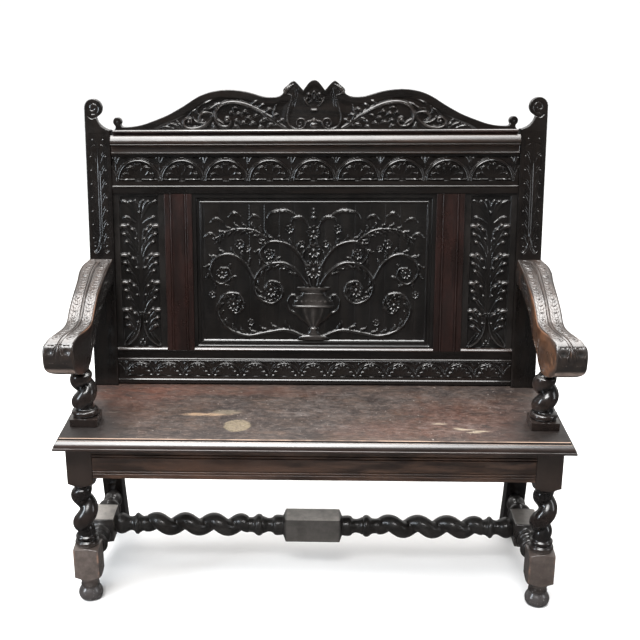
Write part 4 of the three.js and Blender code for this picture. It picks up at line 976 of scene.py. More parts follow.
def centre_field(xs, hs, D):
    F = Field(*np.meshgrid(xs, hs), D)
    W2, z0, z1 = 296.0, H(566), H(942)
    zc = (z0 + z1) / 2
    d = np.minimum.reduce([F.X + W2, W2 - F.X, F.Y - z0, z1 - F.Y])
    F.Z = D * (1 - ramp(d, -.4, 2.0))
    # ribbon frame of the sunk field
    dd = np.abs(d - 11.0)
    F.Z = np.maximum(F.Z, np.where(dd < 3.0, 2.6 * np.sqrt(np.clip(1 - (dd / 3.0) ** 2, 0, 1)), 0))
    # boarded ground behind the foliage
    inner = d > 15
    fx = (F.X + 600) % 38.0
    F.Z -= np.where(inner, .9 * np.exp(-((fx - 19) / 1.2) ** 2), 0)
    F.Z += np.where(inner, .25 * np.sin(F.Y * .9 + 3 * np.sin(F.X * .11)) * .3, 0)
    # urn in the middle
    def urn(z):
        zz = [z0 + 15, z0 + 22, z0 + 25, z0 + 34, z0 + 44, z0 + 54, z0 + 74, z0 + 96, z0 + 116, z0 + 128, z0 + 134, z0 + 140, z0 + 146, z0 + 152]
        rr = [40, 39, 30, 14, 10, 16, 40, 52, 50, 38, 30, 29, 38, 41]
        return pchip(zz, rr, np.clip(z, zz[0], zz[-1])) * ((z > zz[0]) & (z < zz[-1]))
    w = urn(F.Y)
    q = np.abs(F.X) / np.maximum(w, 1e-3)
    body = (w > 0) & (q < 1)
    flute = 1 - .22 * np.abs(np.sin(np.arcsin(np.clip(q, 0, 1)) * 7.0)) * ((F.Y > z0 + 50) & (F.Y < z0 + 100))
    F.Z = np.where(body, np.maximum(F.Z, 1.2 + 6.2 * np.sqrt(np.clip(1 - q ** 2, 0, 1)) * flute), F.Z)
    for zz, ww, hh in ((z0 + 24, 34, 1.2), (z0 + 44, 13, 1.6), (z0 + 102, 53, 1.4), (z0 + 134, 32, 1.2), (z0 + 149, 42, 1.4)):
        i = F.near(-ww, ww, zz - 3, zz + 3)
        F.Z[i] += hh * np.sqrt(np.clip(1 - ((F.Y[i] - zz) / 3.0) ** 2, 0, 1)) * (np.abs(F.X[i]) < ww)
    for x in np.arange(-42, 43, 12.0):
        F.blob(x, z0 + 115, 4.6, 4.6, 1.5, how="add", kind="soft")
    # handles
    for s in (-1, 1):
        F.stroke([(s * 44, z0 + 84), (s * 60, z0 + 92), (s * 66, z0 + 112), (s * 58, z0 + 130), (s * 46, z0 + 130), (s * 45, z0 + 120)], [4, 3.6, 3.4, 3.4, 3.0, 2.4], [4.2, 4.4, 4.6, 4.4, 4.4, 4], "round")
    # scrolling foliage, the same on both sides
    for s in (-1, 1):
        def p(*a):
            return [(s * u, z0 + v) for u, v in a]
        main = p((14, 152), (40, 190), (80, 214), (124, 204), (150, 168), (142, 126), (106, 110), (80, 130), (86, 160), (112, 166), (124, 148))
        leafy(F, main, 6.4, 4.6, n=13, s=-s, first=.1)
        F.stroke(main, [5, 4.4, 4, 3.4, 3, 2.4], [4.6, 4.6, 4.4, 4.2], "round")
        rosette(F, s * 108, z0 + 144, 17, 6.0, 8)
        lowr = p((26, 24), (70, 40), (118, 34), (170, 26), (222, 46), (246, 92), (226, 132), (190, 132), (178, 100), (200, 84), (218, 100))
        leafy(F, lowr, 6.2, 4.4, n=14, s=s, first=.08)
        F.stroke(lowr, [4.6, 4.4, 4, 3.4, 3, 2.2], [4.4, 4.6, 4.4, 4.0], "round")
        rosette(F, s * 204, z0 + 106, 17, 6.0, 8, .2)
        upr = p((150, 168), (176, 214), (214, 236), (252, 222), (262, 184), (238, 160), (212, 174), (216, 198), (236, 202))
        leafy(F, upr, 5.6, 4.2, n=11, s=s, first=.12)
        F.stroke(upr, [4.2, 3.8, 3.4, 3, 2.0], [4.4, 4.4, 4.2, 3.8], "round")
        rosette(F, s * 232, z0 + 188, 15, 5.8, 8, .4)
        top = p((10, 156), (24, 214), (60, 258), (108, 268), (136, 240), (122, 214), (98, 222), (100, 244))
        leafy(F, top, 5.8, 4.4, n=11, s=s, first=.16)
        F.stroke(top, [4.4, 3.8, 3.4, 2.8, 2.0], [4.4, 4.4, 4.2, 3.6], "round")
        rosette(F, s * 112, z0 + 236, 13, 5.6, 7)
        tip = p((108, 268), (150, 296), (196, 300), (232, 286), (248, 262))
        leafy(F, tip, 5.4, 4.2, n=8, s=0, first=.05)
        for (a, b, r) in ((186, 262, 12), (160, 60, 9), (60, 300, 11), (258, 132, 9), (166, 250, 8), (30, 262, 9)):
            rosette(F, s * a, z0 + b, r, 4.8, 6, a * .1)
        F.stroke(p((0, 160), (12, 230), (6, 280), (18, 318)), [3.4, 3, 2.6, 1.6], [4, 4, 3.8, 3.4], "round")
        F.stroke(p((18, 318), (34, 330), (52, 326), (56, 312)), [3, 4.6, 4, 1.4], [3, 4, 4.4, 2], "leaf")
        F.stroke(p((40, 330), (70, 346), (104, 342), (118, 326)), [3, 4.8, 4.2, 1.4], [3, 4, 4.4, 2], "leaf")
        for a, b in ((150, 330), (200, 336), (246, 322), (262, 284)):
            F.stroke(p((a - 16, b - 4), (a, b + 4), (a + 14, b - 6)), [2, 4.6, 1.6], [2.6, 4, 2], "leaf")
    rosette(F, 0, z0 + 196, 22, 7.0, 10)
    rosette(F, 0, z0 + 246, 19, 6.4, 8, .3)
    rosette(F, 0, z0 + 292, 17, 6.0, 8)
    for v in (328, 340, 350):
        F.blob(0, z0 + v, 7 - (v - 328) * .14, 6.4 - (v - 328) * .14, 5.2)
    return F


D = 5.6
cst = 1.35 if FINE else 3.0
xs = axis_points(-(MUNTIN[0] - .3), MUNTIN[0] - .3, cst)
hs = axis_points(H(LOWER_RAIL[1]) + .3, H(TOP_RAIL[0]) - .1, cst)
F = centre_field(xs, hs, D)
n, rise = finish_board(F, D, PANEL_N - 1.4, xs, hs, .4)
grid_board("centre_panel_carved", xs, hs, n, PANEL_N + PANEL_T, M["panel"], ["centre_panel"], rise=rise)

# ------------------------------------------------------ mouldings of the back
def arc(cx, cy, rx, ry, a0, a1, n=10):
    a = np.radians(np.linspace(a0, a1, n))
    return [(cx + rx * math.cos(t), cy + ry * math.sin(t)) for t in a]


def hz(pts):
    return [(n, H(z)) for n, z in pts]


# profiles run counter-clockwise seen from +x, with depth to the right and height up
sill = [(PANEL_N - .3, 553.9)] + [(PANEL_N - .3, 561.0)] + [(PANEL_N - .3 - 8 * math.sin(t), 554.0 + 7 * math.cos(t)) for t in np.linspace(0.02, math.pi / 2, 9)]
for nm, a, b in (("side_panel_sill_right", MUNTIN[1] + .3, POST_IN - .3), ("side_panel_sill_left", -(POST_IN - .3), -(MUNTIN[1] + .3)),
                 ("centre_panel_sill", -(MUNTIN[0] - .3), MUNTIN[0] - .3)):
    prism(nm + "_moulded", hz(sill), a, b, M["edge"], [nm])

CE = inX - 2
ovolo = [(-6.4, 1095.1), (-8.6, 1096.2), (-10.2, 1096.2), (-11.5, 1095.4), (-12.8, 1094.1), (-14.1, 1092.4), (-15.3, 1090.6), (-16.4, 1088.8), (-17.3, 1086.9), (-18.2, 1084.8), (-18.8, 1082.8), (-19.1, 1080.8), (-19.0, 1078.8),
         (-18.5, 1077.2), (-17.6, 1076.2), (-16.6, 1075.9), (-15.4, 1076.0)] + arc(-15.2, 1073.7, 2.2, 2.0, 110, 250, 9) + [(-13.2, 1071.2), (-9.0, 1070.9), (-4.0, 1070.2)]
cornice = ([(2.7, 1049.7), (2.7, 1095.0)] + ovolo + [(-1.8, 1068.6), (-1.8, 1056.4)] + arc(-1.7, 1052.8, 3.0, 2.9, 95, 262, 12) + [(-1.4, 1049.7)])
prism("cornice_moulding_run", hz(cornice), -CE, CE, M["cornice"], ["cornice_moulding"], chamfer=.7)
ledge = ([(29, 1095.5), (29, 1107.7), (2.0, 1107.8)] + arc(-9.8, 1105.8, 4.1, 3.4, 90, 182, 8) + [(-13.9, 1103.2), (-12.9, 1102.8)] + arc(-13.2, 1095.2, 8.6, 7.4, 86, 4, 9) + [(-4.4, 1095.5)])
prism("crest_ledge_run", hz(ledge), -496, 496, M["ledge"], ["crest_ledge"], chamfer=.8)


# ------------------------------------------------------------------ crest board
crest_half = [
    (0, 1221.5), (4, 1220.9), (7.6, 1219.2), (11, 1216.6), (14, 1213.4), (17.4, 1209.4), (20.6, 1205.2), (23.6, 1201.2), (26.6, 1197.6), (29.6, 1200.6), (33, 1204.4), (39, 1211),
    (44.6, 1216.6), (48, 1219), (50.8, 1219.9), (54, 1218.4), (57.6, 1215.6), (62, 1211.6), (66.6, 1207.6), (71.4, 1203.8),
    (74.6, 1200.4), (75.8, 1196.8), (75.0, 1192.8), (76.4, 1189.6), (79.8, 1186.8), (84, 1184.6), (88, 1183.2), (95, 1181.9), (103, 1181.4), (110, 1181.5), (118, 1182), (126, 1183.4), (133, 1185.2),
    (142, 1187.9), (150, 1190.4), (158, 1192.6), (165, 1194.3), (180, 1197), (197, 1199), (213, 1199.6), (229, 1198.8), (245, 1196.4), (254, 1194.5), (262, 1192.2), (270, 1189.4), (278, 1186.2),
    (288, 1181.2), (298, 1175.4), (308, 1168.9), (319, 1162), (331, 1155.1), (343, 1148.6), (352, 1143.7), (362, 1139), (370, 1135.6), (378, 1132.4), (387, 1129), (396, 1125.8),
    (405, 1122.5), (414, 1119.4), (423, 1116.8), (432, 1114.8), (441, 1113.2), (449, 1112.2), (457, 1111.5), (464, 1111.2), (471, 1111.4), (476.5, 1112.6)]
ear = [(486.6 + 10.3 * math.cos(a), 1124 + 10.3 * math.sin(a)) for a in np.linspace(math.pi * 1.22, -math.pi * .24, 22)]
crest_right = [(x, z * 1.0045) for x, z in crest_half + ear + [(491.2, 1113.4), (491.2, 1110.4), (492.2, 1107), (495, CREST_FOOT / 1.0045 + .2)]]
outline = [(x, H(z)) for x, z in crest_right] + [(-x, H(z)) for x, z in crest_right[1:][::-1]]
outline = outline[::-1]          # counter-clockwise


def crest_depth(X, Z, Dst):
    D = 3.4
    F = Field(X, Z, D)
    foot = H(CREST_FOOT)
    K = 1.0045
    def P(s, *a):
        return [(s * x, H(z)) for x, z in a]
    for s in (-1, 1):
        # sunk ground under the carving, following the board's outline at a distance
        lim = [(58, 1092), (62, 1118), (65, 1128), (67, 1141), (63, 1158), (59, 1171), (58, 1181), (78, 1179), (100, 1172), (130, 1172), (165, 1181), (200, 1187), (236, 1188), (262, 1181), (290, 1166), (320, 1148), (352, 1134), (380, 1122), (396, 1112), (398, 1092)]
        loop = np.array([(s * a, H(b)) for a, b in lim])
        box = F.near(min(loop[:, 0]) - 2, max(loop[:, 0]) + 2, foot - 2, H(1200))
        ins = inside(loop, F.X[box], F.Y[box])
        dd = edge_distance(loop, F.X[box], F.Y[box])
        wide = 7.0 + 11.0 * (1 - ramp(np.abs(F.X[box]), 66, 100))
        sunk = np.where(ins, ramp(dd / wide, 0, 1.0), 0)
        F.Z[box] = D - (D - .2) * sunk
        # large scroll springing from the foot beside the cartouche
        big = P(s, (66, 1111), (84, 1121), (104, 1135), (128, 1151), (154, 1164), (180, 1172.6), (207, 1174.6), (228, 1168), (241, 1154), (243.6, 1139), (238, 1126), (226, 1117.5), (212, 1118), (205, 1127), (209, 1136), (217, 1137))
        F.stroke(big, [3.4, 5.2, 6.2, 6.6, 6.6, 6.2, 5.4, 4.4, 3.2], [3.2, 3.8, 4.4, 5.0, 5.6, 5.6, 5.2, 4.8, 5.2], "full")
        F.stroke(big[2:12], [.6, 1.1, 1.1, .7], [.4, 1.0, 1.0, .4], "soft", "cut")
        F.blob(s * 214, H(1131), 6.4, 6.4, 6.2)
        # second scroll turning outwards to the low end
        sec = P(s, (243, 1152), (255, 1133), (274, 1117.5), (299, 1112), (316, 1116), (321.5, 1127), (313, 1136.5), (303, 1134.5), (302, 1127))
        F.stroke(sec, [3.2, 4.8, 5.8, 5.6, 4.8, 4.0, 3.2], [3.2, 4.2, 5.0, 5.2, 5.0, 4.8, 5.0], "full")
        F.blob(s * 309, H(1128), 5.4, 5.4, 5.6)
        # upper leaf of the second scroll
        F.stroke(P(s, (246, 1141), (258, 1149.5), (272, 1149.5), (281.5, 1140), (279, 1130.5), (271, 1131)), [2.0, 4.0, 5.2, 5.0, 4.0, 2.0], [2.4, 3.8, 5.0, 5.2, 4.8, 3], "full")
        F.stroke(P(s, (262, 1127), (276, 1125), (291, 1129.5), (298, 1138.5)), [1.4, 3.4, 4.2, 1.8], [2.2, 3.8, 5.0, 3.4], "full")
        # crossing leaves at the root
        F.stroke(P(s, (244, 1143), (239, 1134), (230, 1128), (220, 1120), (224, 1112)), [1.6, 3.0, 3.8, 3.6, 1.6], [2.6, 4.0, 4.8, 4.6, 3.2], "full")
        F.stroke(P(s, (249, 1123), (246, 1115), (252, 1111.5)), [3.4, 5.4, 2.4], [2.6, 3.8, 2.4], "full")
        # leaf blades flying off the top of the scroll
        F.stroke(P(s, (224, 1173), (240, 1169), (257, 1159), (271, 1158)), [1.8, 3.8, 4.2, 1.6], [2.2, 3.6, 4.8, 2.6], "full")
        F.stroke(P(s, (233, 1185), (250, 1180.5), (268, 1173), (283, 1166)), [1.4, 3.2, 3.6, 1.2], [2.2, 3.4, 4.6, 2.4], "full")
        F.stroke(P(s, (272, 1171), (285, 1161), (289, 1150), (281, 1143)), [1.2, 3.0, 3.6, 1.4], [2.0, 3.2, 4.2, 2.2], "full")
        F.stroke(P(s, (286, 1160), (299, 1153), (310, 1141.5)), [1.2, 2.8, 1.4], [1.8, 3.2, 2.2], "full")
        # feathery leaflets inside the big scroll
        for a, b, r, rot, h in ((191, 1161, 8.6, .3, 5.4), (201, 1149, 7.6, .9, 5.2), (184, 1146, 8.8, .4, 5.0), (167, 1151, 9.6, .35, 5.4), (160, 1137, 9.0, .2, 5.0), (141, 1143, 8.4, -.5, 5.0),
                                (172, 1126, 8.4, 0, 4.8), (150, 1124, 7.4, -.2, 4.6), (189, 1130, 6.8, .4, 4.8), (128, 1129, 7.6, -.6, 4.6), (191, 1117, 6.4, .3, 4.4), (131, 1116, 6.6, -.5, 4.0)):
            cx, cz = s * a, H(b)
            dx, dz = r * math.cos(rot), r * math.sin(rot)
            F.stroke([(cx - s * dx, cz - dz * .6 - 2), (cx, cz + 1.4), (cx + s * dx * .8, cz + dz * .4 - 1), (cx + s * dx * 1.05, cz - 3.6)], [1.4, 3.8, 3.8, 1.6], [h * .45, h * .8, h * 1.05, h * .5], "full")
        # leaflets on the back of the big scroll
        for a, b in ((150, 1175), (133, 1167), (117, 1156), (101, 1143), (86, 1131)):
            F.stroke(P(s, (a + 8, b - 11), (a, b - 3), (a - 9, b + 2.5), (a - 14.5, b + .5)), [1.6, 3.8, 4.4, 1.6], [2.2, 3.6, 5.2, 2.6], "full")
        for a, b in ((117, 1139), (103, 1126)):
            F.stroke(P(s, (a - 8, b - 8), (a, b - 3), (a + 9, b - 6), (a + 12, b - 11)), [1.4, 3.4, 3.8, 1.4], [2.2, 3.6, 4.8, 2.4], "full")
        F.stroke(P(s, (74, 1113), (90, 1126), (99, 1144), (96, 1161), (90, 1171)), [1.8, 3.6, 4.0, 3.6, 1.4], [2.6, 3.4, 4.0, 4.8, 2.4], "full")
        # little leaves at the low end
        F.stroke(P(s, (330, 1112), (342, 1120), (354, 1123.5), (363, 1118.5)), [1.4, 3.2, 4.0, 1.6], [2, 3.4, 4.4, 2.2], "full")
        F.stroke(P(s, (345, 1110.5), (358, 1115.5), (372, 1117), (382, 1112)), [1.4, 3.0, 3.4, 1.2], [2, 3.2, 4.2, 2], "full")
        F.stroke(P(s, (322, 1114), (332, 1121.5), (339, 1132)), [1.4, 3.2, 1.4], [2, 3.8, 2.4], "full")
        # cartouche: one thin round line from the horn's roll down to the foot, where it coils inwards
        line = P(s, (54.6, 1190), (55.4, 1182), (58.4, 1171), (62.4, 1158), (66, 1141), (64.6, 1128), (58.6, 1118), (49.5, 1112), (37, 1110.4), (25, 1115), (20.8, 1125), (25, 1133), (34, 1135.4), (41, 1130.4), (42.2, 1121.6), (37, 1117), (31, 1119.6), (31.6, 1125))
        F.stroke(line, [1.5, 2.2, 2.5, 2.6, 2.6, 2.6, 2.5, 2.4, 2.1, 1.8], [4.2, 4.5, 4.7, 4.7, 4.7, 4.8, 5.0, 5.0, 4.9, 4.8], "round")
        F.blob(s * 33.6, H(1125), 2.8, 2.8, 5.2)
        # the horn's rolled top, fluted across
        roll = P(s, (50.4, 1216.4), (57, 1212.6), (64.4, 1206.2), (70.6, 1200.0))
        F.stroke(roll, [2.4, 5.0, 6.6, 5.4], [4.4, 5.4, 6.0, 6.2], "round")
        for j, (a, b) in enumerate(((53.4, 1215.2), (57.4, 1212.0), (61.4, 1208.4), (65.4, 1204.8), (69.4, 1200.8))):
            F.stroke(P(s, (a + 3.4, b + 3.8), (a - 1, b - 1.6), (a - 5.4, b - 8.4)), [1.0, 1.1, .5], [1.5, 1.6, .5], "soft", "cut")
        F.blob(s * 70.4, H(1196.6), 4.6, 4.4, 6.6)
        F.blob(s * 70.4, H(1196.6), 1.7, 1.7, 1.8, how="cut", kind="soft")
        F.stroke(P(s, (66.4, 1193.4), (60, 1192.4), (54.6, 1190)), [1.4, 1.5, 1.4], [4.4, 4.4, 4.2], "round")
        F.stroke(P(s, (21, 1124), (15, 1128.6), (8, 1129.6), (0, 1134)), [1.4, 2.6, 3.2, 3.8], [4.4, 4.8, 5.2, 5.6], "round")
        # ear scroll at the end
        F.curl(s * 486.6, H(1129.1), 7.6, 280 if s > 0 else 260, 1.4 * s, 1.3, .8, shrink=.14, kind="soft", how="cut")
        F.blob(s * 486.6, H(1129.1), 2.4, 2.4, 1.2, how="add", kind="soft")
    # inside the cartouche the ground is sunk and slightly hollow
    car = np.array([(x, H(z)) for x, z in [(-47, 1214), (-53, 1186), (-57, 1166), (-63, 1146), (-61, 1128), (-50, 1117), (0, 1112), (50, 1117), (61, 1128), (63, 1146), (57, 1166), (53, 1186), (47, 1214), (27, 1197), (14, 1212), (0, 1218), (-14, 1212), (-27, 1197)]])
    box = F.near(-66, 66, foot, H(1222))
    ins = inside(car, F.X[box], F.Y[box])
    dd = edge_distance(car, F.X[box], F.Y[box])
    zc = F.Z[box]
    F.Z[box] = np.where(ins & (zc <= D + .01), D - 2.3 * ramp(dd, 0, 9) * ramp(F.Y[box], H(1114), H(1182)), zc)
    # palmette: five outlined petals, two knobs and two blades low down
    ox, oz = 0.0, H(1173.0)
    for k, a in enumerate((-64, -33, 0, 33, 64)):
        t = math.radians(a)

        def R(r, off):
            return (ox + r * math.sin(t) + off * math.cos(t), oz + r * math.cos(t) - off * math.sin(t))
        L1 = (21.0, 25.0, 27.0, 25.0, 21.0)[k]
        F.stroke([R(7, 0), R(.55 * L1, -4.2), R(.8 * L1, -4.6), R(L1, 0), R(.8 * L1, 4.6), R(.55 * L1, 4.2), R(7, 0)], 1.3, [3.4, 4.2, 4.8, 5.6, 4.8, 4.2, 3.4], "round")
        F.stroke([R(8, 0), R(.78 * L1, 0)], [.9, 1.3], [3.2, 4.2], "round")
        F.blob(*R(L1 - .6, 0), *((4.8, 4.4) if k in (1, 3) else (3.2, 2.6)), 5.9)
    for s in (-1, 1):
        F.stroke([(s * 8, H(1164)), (s * 14.5, H(1168.5)), (s * 21, H(1176.5)), (s * 24, H(1184))], [1.2, 2.5, 2.9, 1.8], [3.2, 4.8, 5.8, 4.6], "round")
        for j in (0, 1):
            F.stroke([(s * (44.5 - 5 * j), H(1208)), (s * (47 - 5 * j), H(1192)), (s * (50.8 - 5 * j), H(1177)), (s * (54.6 - 6 * j), H(1160))], [1.0, 1.5, 1.4, .6], [1.0, 1.7, 1.4, .3], "soft", "cut")
    F.stroke([(-5.4, H(1155.4)), (5.4, H(1155.4))], 4.3, 5.8, "round")
    F.stroke([(0, H(1152)), (0, H(1143)), (0, H(1135))], [5.0, 4.4, 6.0], [1.8, 1.4, 2.8], "soft")
    F.blob(0, H(1130.6), 8.6, 4.6, 6.0)
    F.blob(0, H(1119.4), 14.5, 8.6, 4.8)
    F.Z = np.where(F.Z > D + .05, D + (F.Z - D) * 1.9, F.Z)
    F.Z = np.minimum(F.Z, 7.8)
    rise = np.clip((F.Z - 2) / 4.4, 0, 1)
    return 4.0 + D - F.Z, rise


def crest_place(x, z, front, n):
    return back_points(x, z, n if front else np.full(len(x), 24.0))


cz = 1.25 if FINE else 2.6
cut_board("crest_board_carved", outline, [(-400, -84, H(1109), H(1230), cz), (84, 400, H(1109), H(1230), cz), (-84, 84, H(1109), H(1230), cz * .64), (-498, -400, H(1109), H(1145), 2.4), (400, 498, H(1109), H(1145), 2.4)],
          crest_depth, crest_place, M["carvedX"], ["crest_board"], edge=1.9, radius=1.5)

# -------------------------------------------------------------------- rear posts
leg_curve = [(402.2, FLOOR), (386, 62), (370, 120), (357, 180), (347.4, 250), (342.4, 330), (BACK_Y, SEAT_UNDER)]


def post_face(z):
    zz = np.array([p[1] for p in leg_curve])
    yy = np.array([p[0] for p in leg_curve])
    low = pchip(zz, yy, np.clip(z, FLOOR, SEAT_UNDER))
    return np.where(z < SEAT_UNDER, low, BACK_Y + RAKE * (z - SEAT_UNDER))


def post_place(x, z, front, n):
    t = ramp(z, 396, 446)
    if not front:
        n = np.interp(z, [0, 1099, 1127, 1200], [POST_DEPTH, POST_DEPTH, EAR_DEPTH + 2, EAR_DEPTH])
    return np.stack([x, post_face(z) + n * (1 - t * (1 - COS)), z - n * SIN * t], -1)


post = [(REAR_LEG_IN, FLOOR), (POST_OUT, FLOOR), (POST_OUT, EAR_Z - 6)]
post += [(EAR_X + EAR_R * math.cos(a), EAR_Z + EAR_R * math.sin(a)) for a in np.linspace(0, math.pi * 1.34, 40)]
post += [(538.6, 1140.4), (537.4, 1136), (535.6, 1131.6), (533, 1127), (529.6, 1122.2), (525.8, 1118.4), (521.4, 1115), (517, 1112.5), (512.4, 1110.6), (POST_IN, 1108.6), (POST_IN, APRON_LOW - 4), (REAR_LEG_IN, APRON_LOW - 44)]


def post_depth(X, Z, Dst):
    D = 2.4
    F = Field(X, Z, D)
    # sunk strip with a plain margin, from the arm up to the scrolled top
    x0, x1, z0, z1 = 510.5, 561.5, 792.0, 1104.0
    d = np.minimum.reduce([X - x0, x1 - X, Z - z0, z1 - Z])
    F.Z = D - .3 * ramp(d, 0, 4.0)
    u = 536.6
    F.stroke([(u, 1078), (u + .6, 1000), (u, 900), (u, 852)], [1.0, 1.5, 1.7, 1.7], [D, D + .25, D + .5, D + .6], "round")
    for s in (-1, 1):
        F.stroke([(u + s * 2.4, 1078), (u + s * 3.0, 1000), (u + s * 3.0, 900), (u + s * 3.0, 848)], [.9, 1.3, 1.4, 1.4], [.3, .6, .8, .8], "soft", "cut")
    for k in range(7):
        zt = 1056 - k * 33.6
        for s in (-1, 1):
            F.stroke([(u + s * 5, zt - 28), (u + s * 9.6, zt - 14), (u + s * 15, zt - 6), (u + s * 22, zt - 3)], [.8, 1.3, 1.4, .7], [.4, .85, .9, .3], "soft", "cut")
            F.stroke([(u + s * 7, zt - 11), (u + s * 12, zt - 1), (u + s * 18.5, zt + 2.6)], [.7, 1.2, .6], [.3, .8, .3], "soft", "cut")
            F.blob(u + s * 18.4, zt - 12.4, 2.7, 2.3, D + 1.3)
    for s in (-1, 1):
        F.blob(u + s * 13, 1086, 3.6, 3.2, 1.0, how="cut", kind="soft")
        F.blob(u + s * 13, 1085, 2.6, 2.1, D + .5)
        F.stroke([(u + s * 4, 1074), (u + s * 11, 1073), (u + s * 19, 1068)], [.9, 1.5, .8], [.3, .8, .3], "soft", "cut")
        # the stem splits at the foot and curls outwards, with an eye in each curl
        foot = [(u + s * .8, 856), (u + s * 1.8, 838), (u + s * 5.0, 822), (u + s * 10.6, 810.5), (u + s * 17, 806.5), (u + s * 22, 811)]
        F.stroke([(a - s * 2.6, b - 1.6) for a, b in foot[1:]], [1.0, 1.4, 1.5, 1.4, .9], [.5, .9, 1.0, .9, .4], "soft", "cut")
        F.stroke([(a + s * 2.8, b + 2.4) for a, b in foot[1:-1]], [1.0, 1.4, 1.5, 1.2], [.5, .9, 1.0, .6], "soft", "cut")
        F.stroke(foot, [1.3, 1.7, 1.9, 2.0, 1.9, 1.3], [D + .4, D + .6, D + .8, D + .9, D + .9, D + .5], "round")
        F.stroke([(u + s * 9.5, 829), (u + s * 15, 833), (u + s * 20.5, 829)], [.9, 1.4, .9], [.4, .8, .4], "soft", "cut")
        F.blob(u + s * 15, 821.5, 3.2, 2.2, D + 1.1)
    # spiral of the ear, with the crescent cut under it
    F.curl(EAR_X, EAR_Z, 15.5, 285, -1.25, 1.7, 1.2, shrink=.26, how="cut", kind="soft")
    F.stroke([(EAR_X + 14, 1144.5), (EAR_X + 5, 1138.2), (EAR_X - 6, 1139.6)], [1.2, 2.6, 1.4], [1.2, 2.6, 1.4], "soft", "cut")
    F.stroke([(EAR_X + 14.5, 1141), (EAR_X + 5, 1134.6), (EAR_X - 6, 1136.4)], [.8, 1.9, .9], [.2, .5, .2], "soft", "add")
    rise = np.clip(F.Z / 4.6, 0, .7) * (Z > 780) + .35 * (Z <= 780)
    n = D - F.Z
    n = np.where(Z < 780, 0, n)
    return np.maximum(n, -1.0), rise


ps = 1.05 if FINE else 2.4
for side, mir in (("right", False), ("left", True)):
    cut_board("rear_post_%s_carved" % side, post,
              [(506, 566, 788, 1106, ps), (500, 570, 1106, 1186, 1.5), (505, 566, 480, 780, 9), (505, 566, 345, 480, 7), (516, 566, 10, 345, 8)],
              post_depth, post_place, M["carvedZ"], ["rear_post_" + side], edge=2.0, radius=1.5, mirror=mir, back_step=9.0)


# ------------------------------------------------------------------------- arms
arm_st = np.array([
    [10, 538, 607.6, 0], [12, 537.4, 607.4, 0], [17, 536.4, 606, 0], [24, 534.8, 602.6, 1], [34, 532, 598.4, 2], [46, 528.4, 592.4, 4], [60, 524, 586, 7], [75, 519, 580.4, 11],
    [88, 515.2, 577, 14], [100, 512.4, 574.4, 16], [112, 511, 573.4, 16], [126.6, 511.2, 573.6, 16], [134, 511.6, 574, 10], [142, 512, 574.4, 7], [152, 512.2, 574.8, 4], [164, 512.6, 575, 2],
    [181, 512.8, 575, 1], [203, 513, 575, 0], [230, 512.4, 575.4, 0], [260, 511.4, 576.4, 0], [290, 511, 579, 0], [318, 511, 581.6, 0], [343, 510.4, 581, 0], [360, 509.6, 577, 0], [371, 509, 573, 0], [386, 508.6, 569.6, 0]])
arm_top = [(386, 789.4), (371, 787.4), (360, 785.6), (343, 782), (318, 778), (290, 773.4), (260, 767), (230, 759), (203, 750.6), (177, 740), (157, 731), (141, 723), (128, 717), (114, 712.4), (100, 709.4),
           (88, 707.4), (75, 706.2), (60, 705.2), (46, 703.2), (34, 699.8), (24, 694.4), (17, 687.8), (12.4, 679), (10.2, 669), (9.9, 660.5)]
arm_low = [(9.9, 660.5), (10.3, 651), (12.4, 639), (17, 629), (24, 621.4), (34, 615), (46, 609), (60, 603), (75, 597.4), (88, 594.6), (100, 594.1), (112, 594.1), (124, 594.4), (129.6, 603), (133.6, 618), (139, 632), (147, 642), (157, 651), (171, 662.4),
           (188, 676), (209, 690.6), (232, 702), (260, 711), (290, 717), (318, 721.5), (343, 724.5), (360, 726.5), (371, 727.5), (386, 728)]


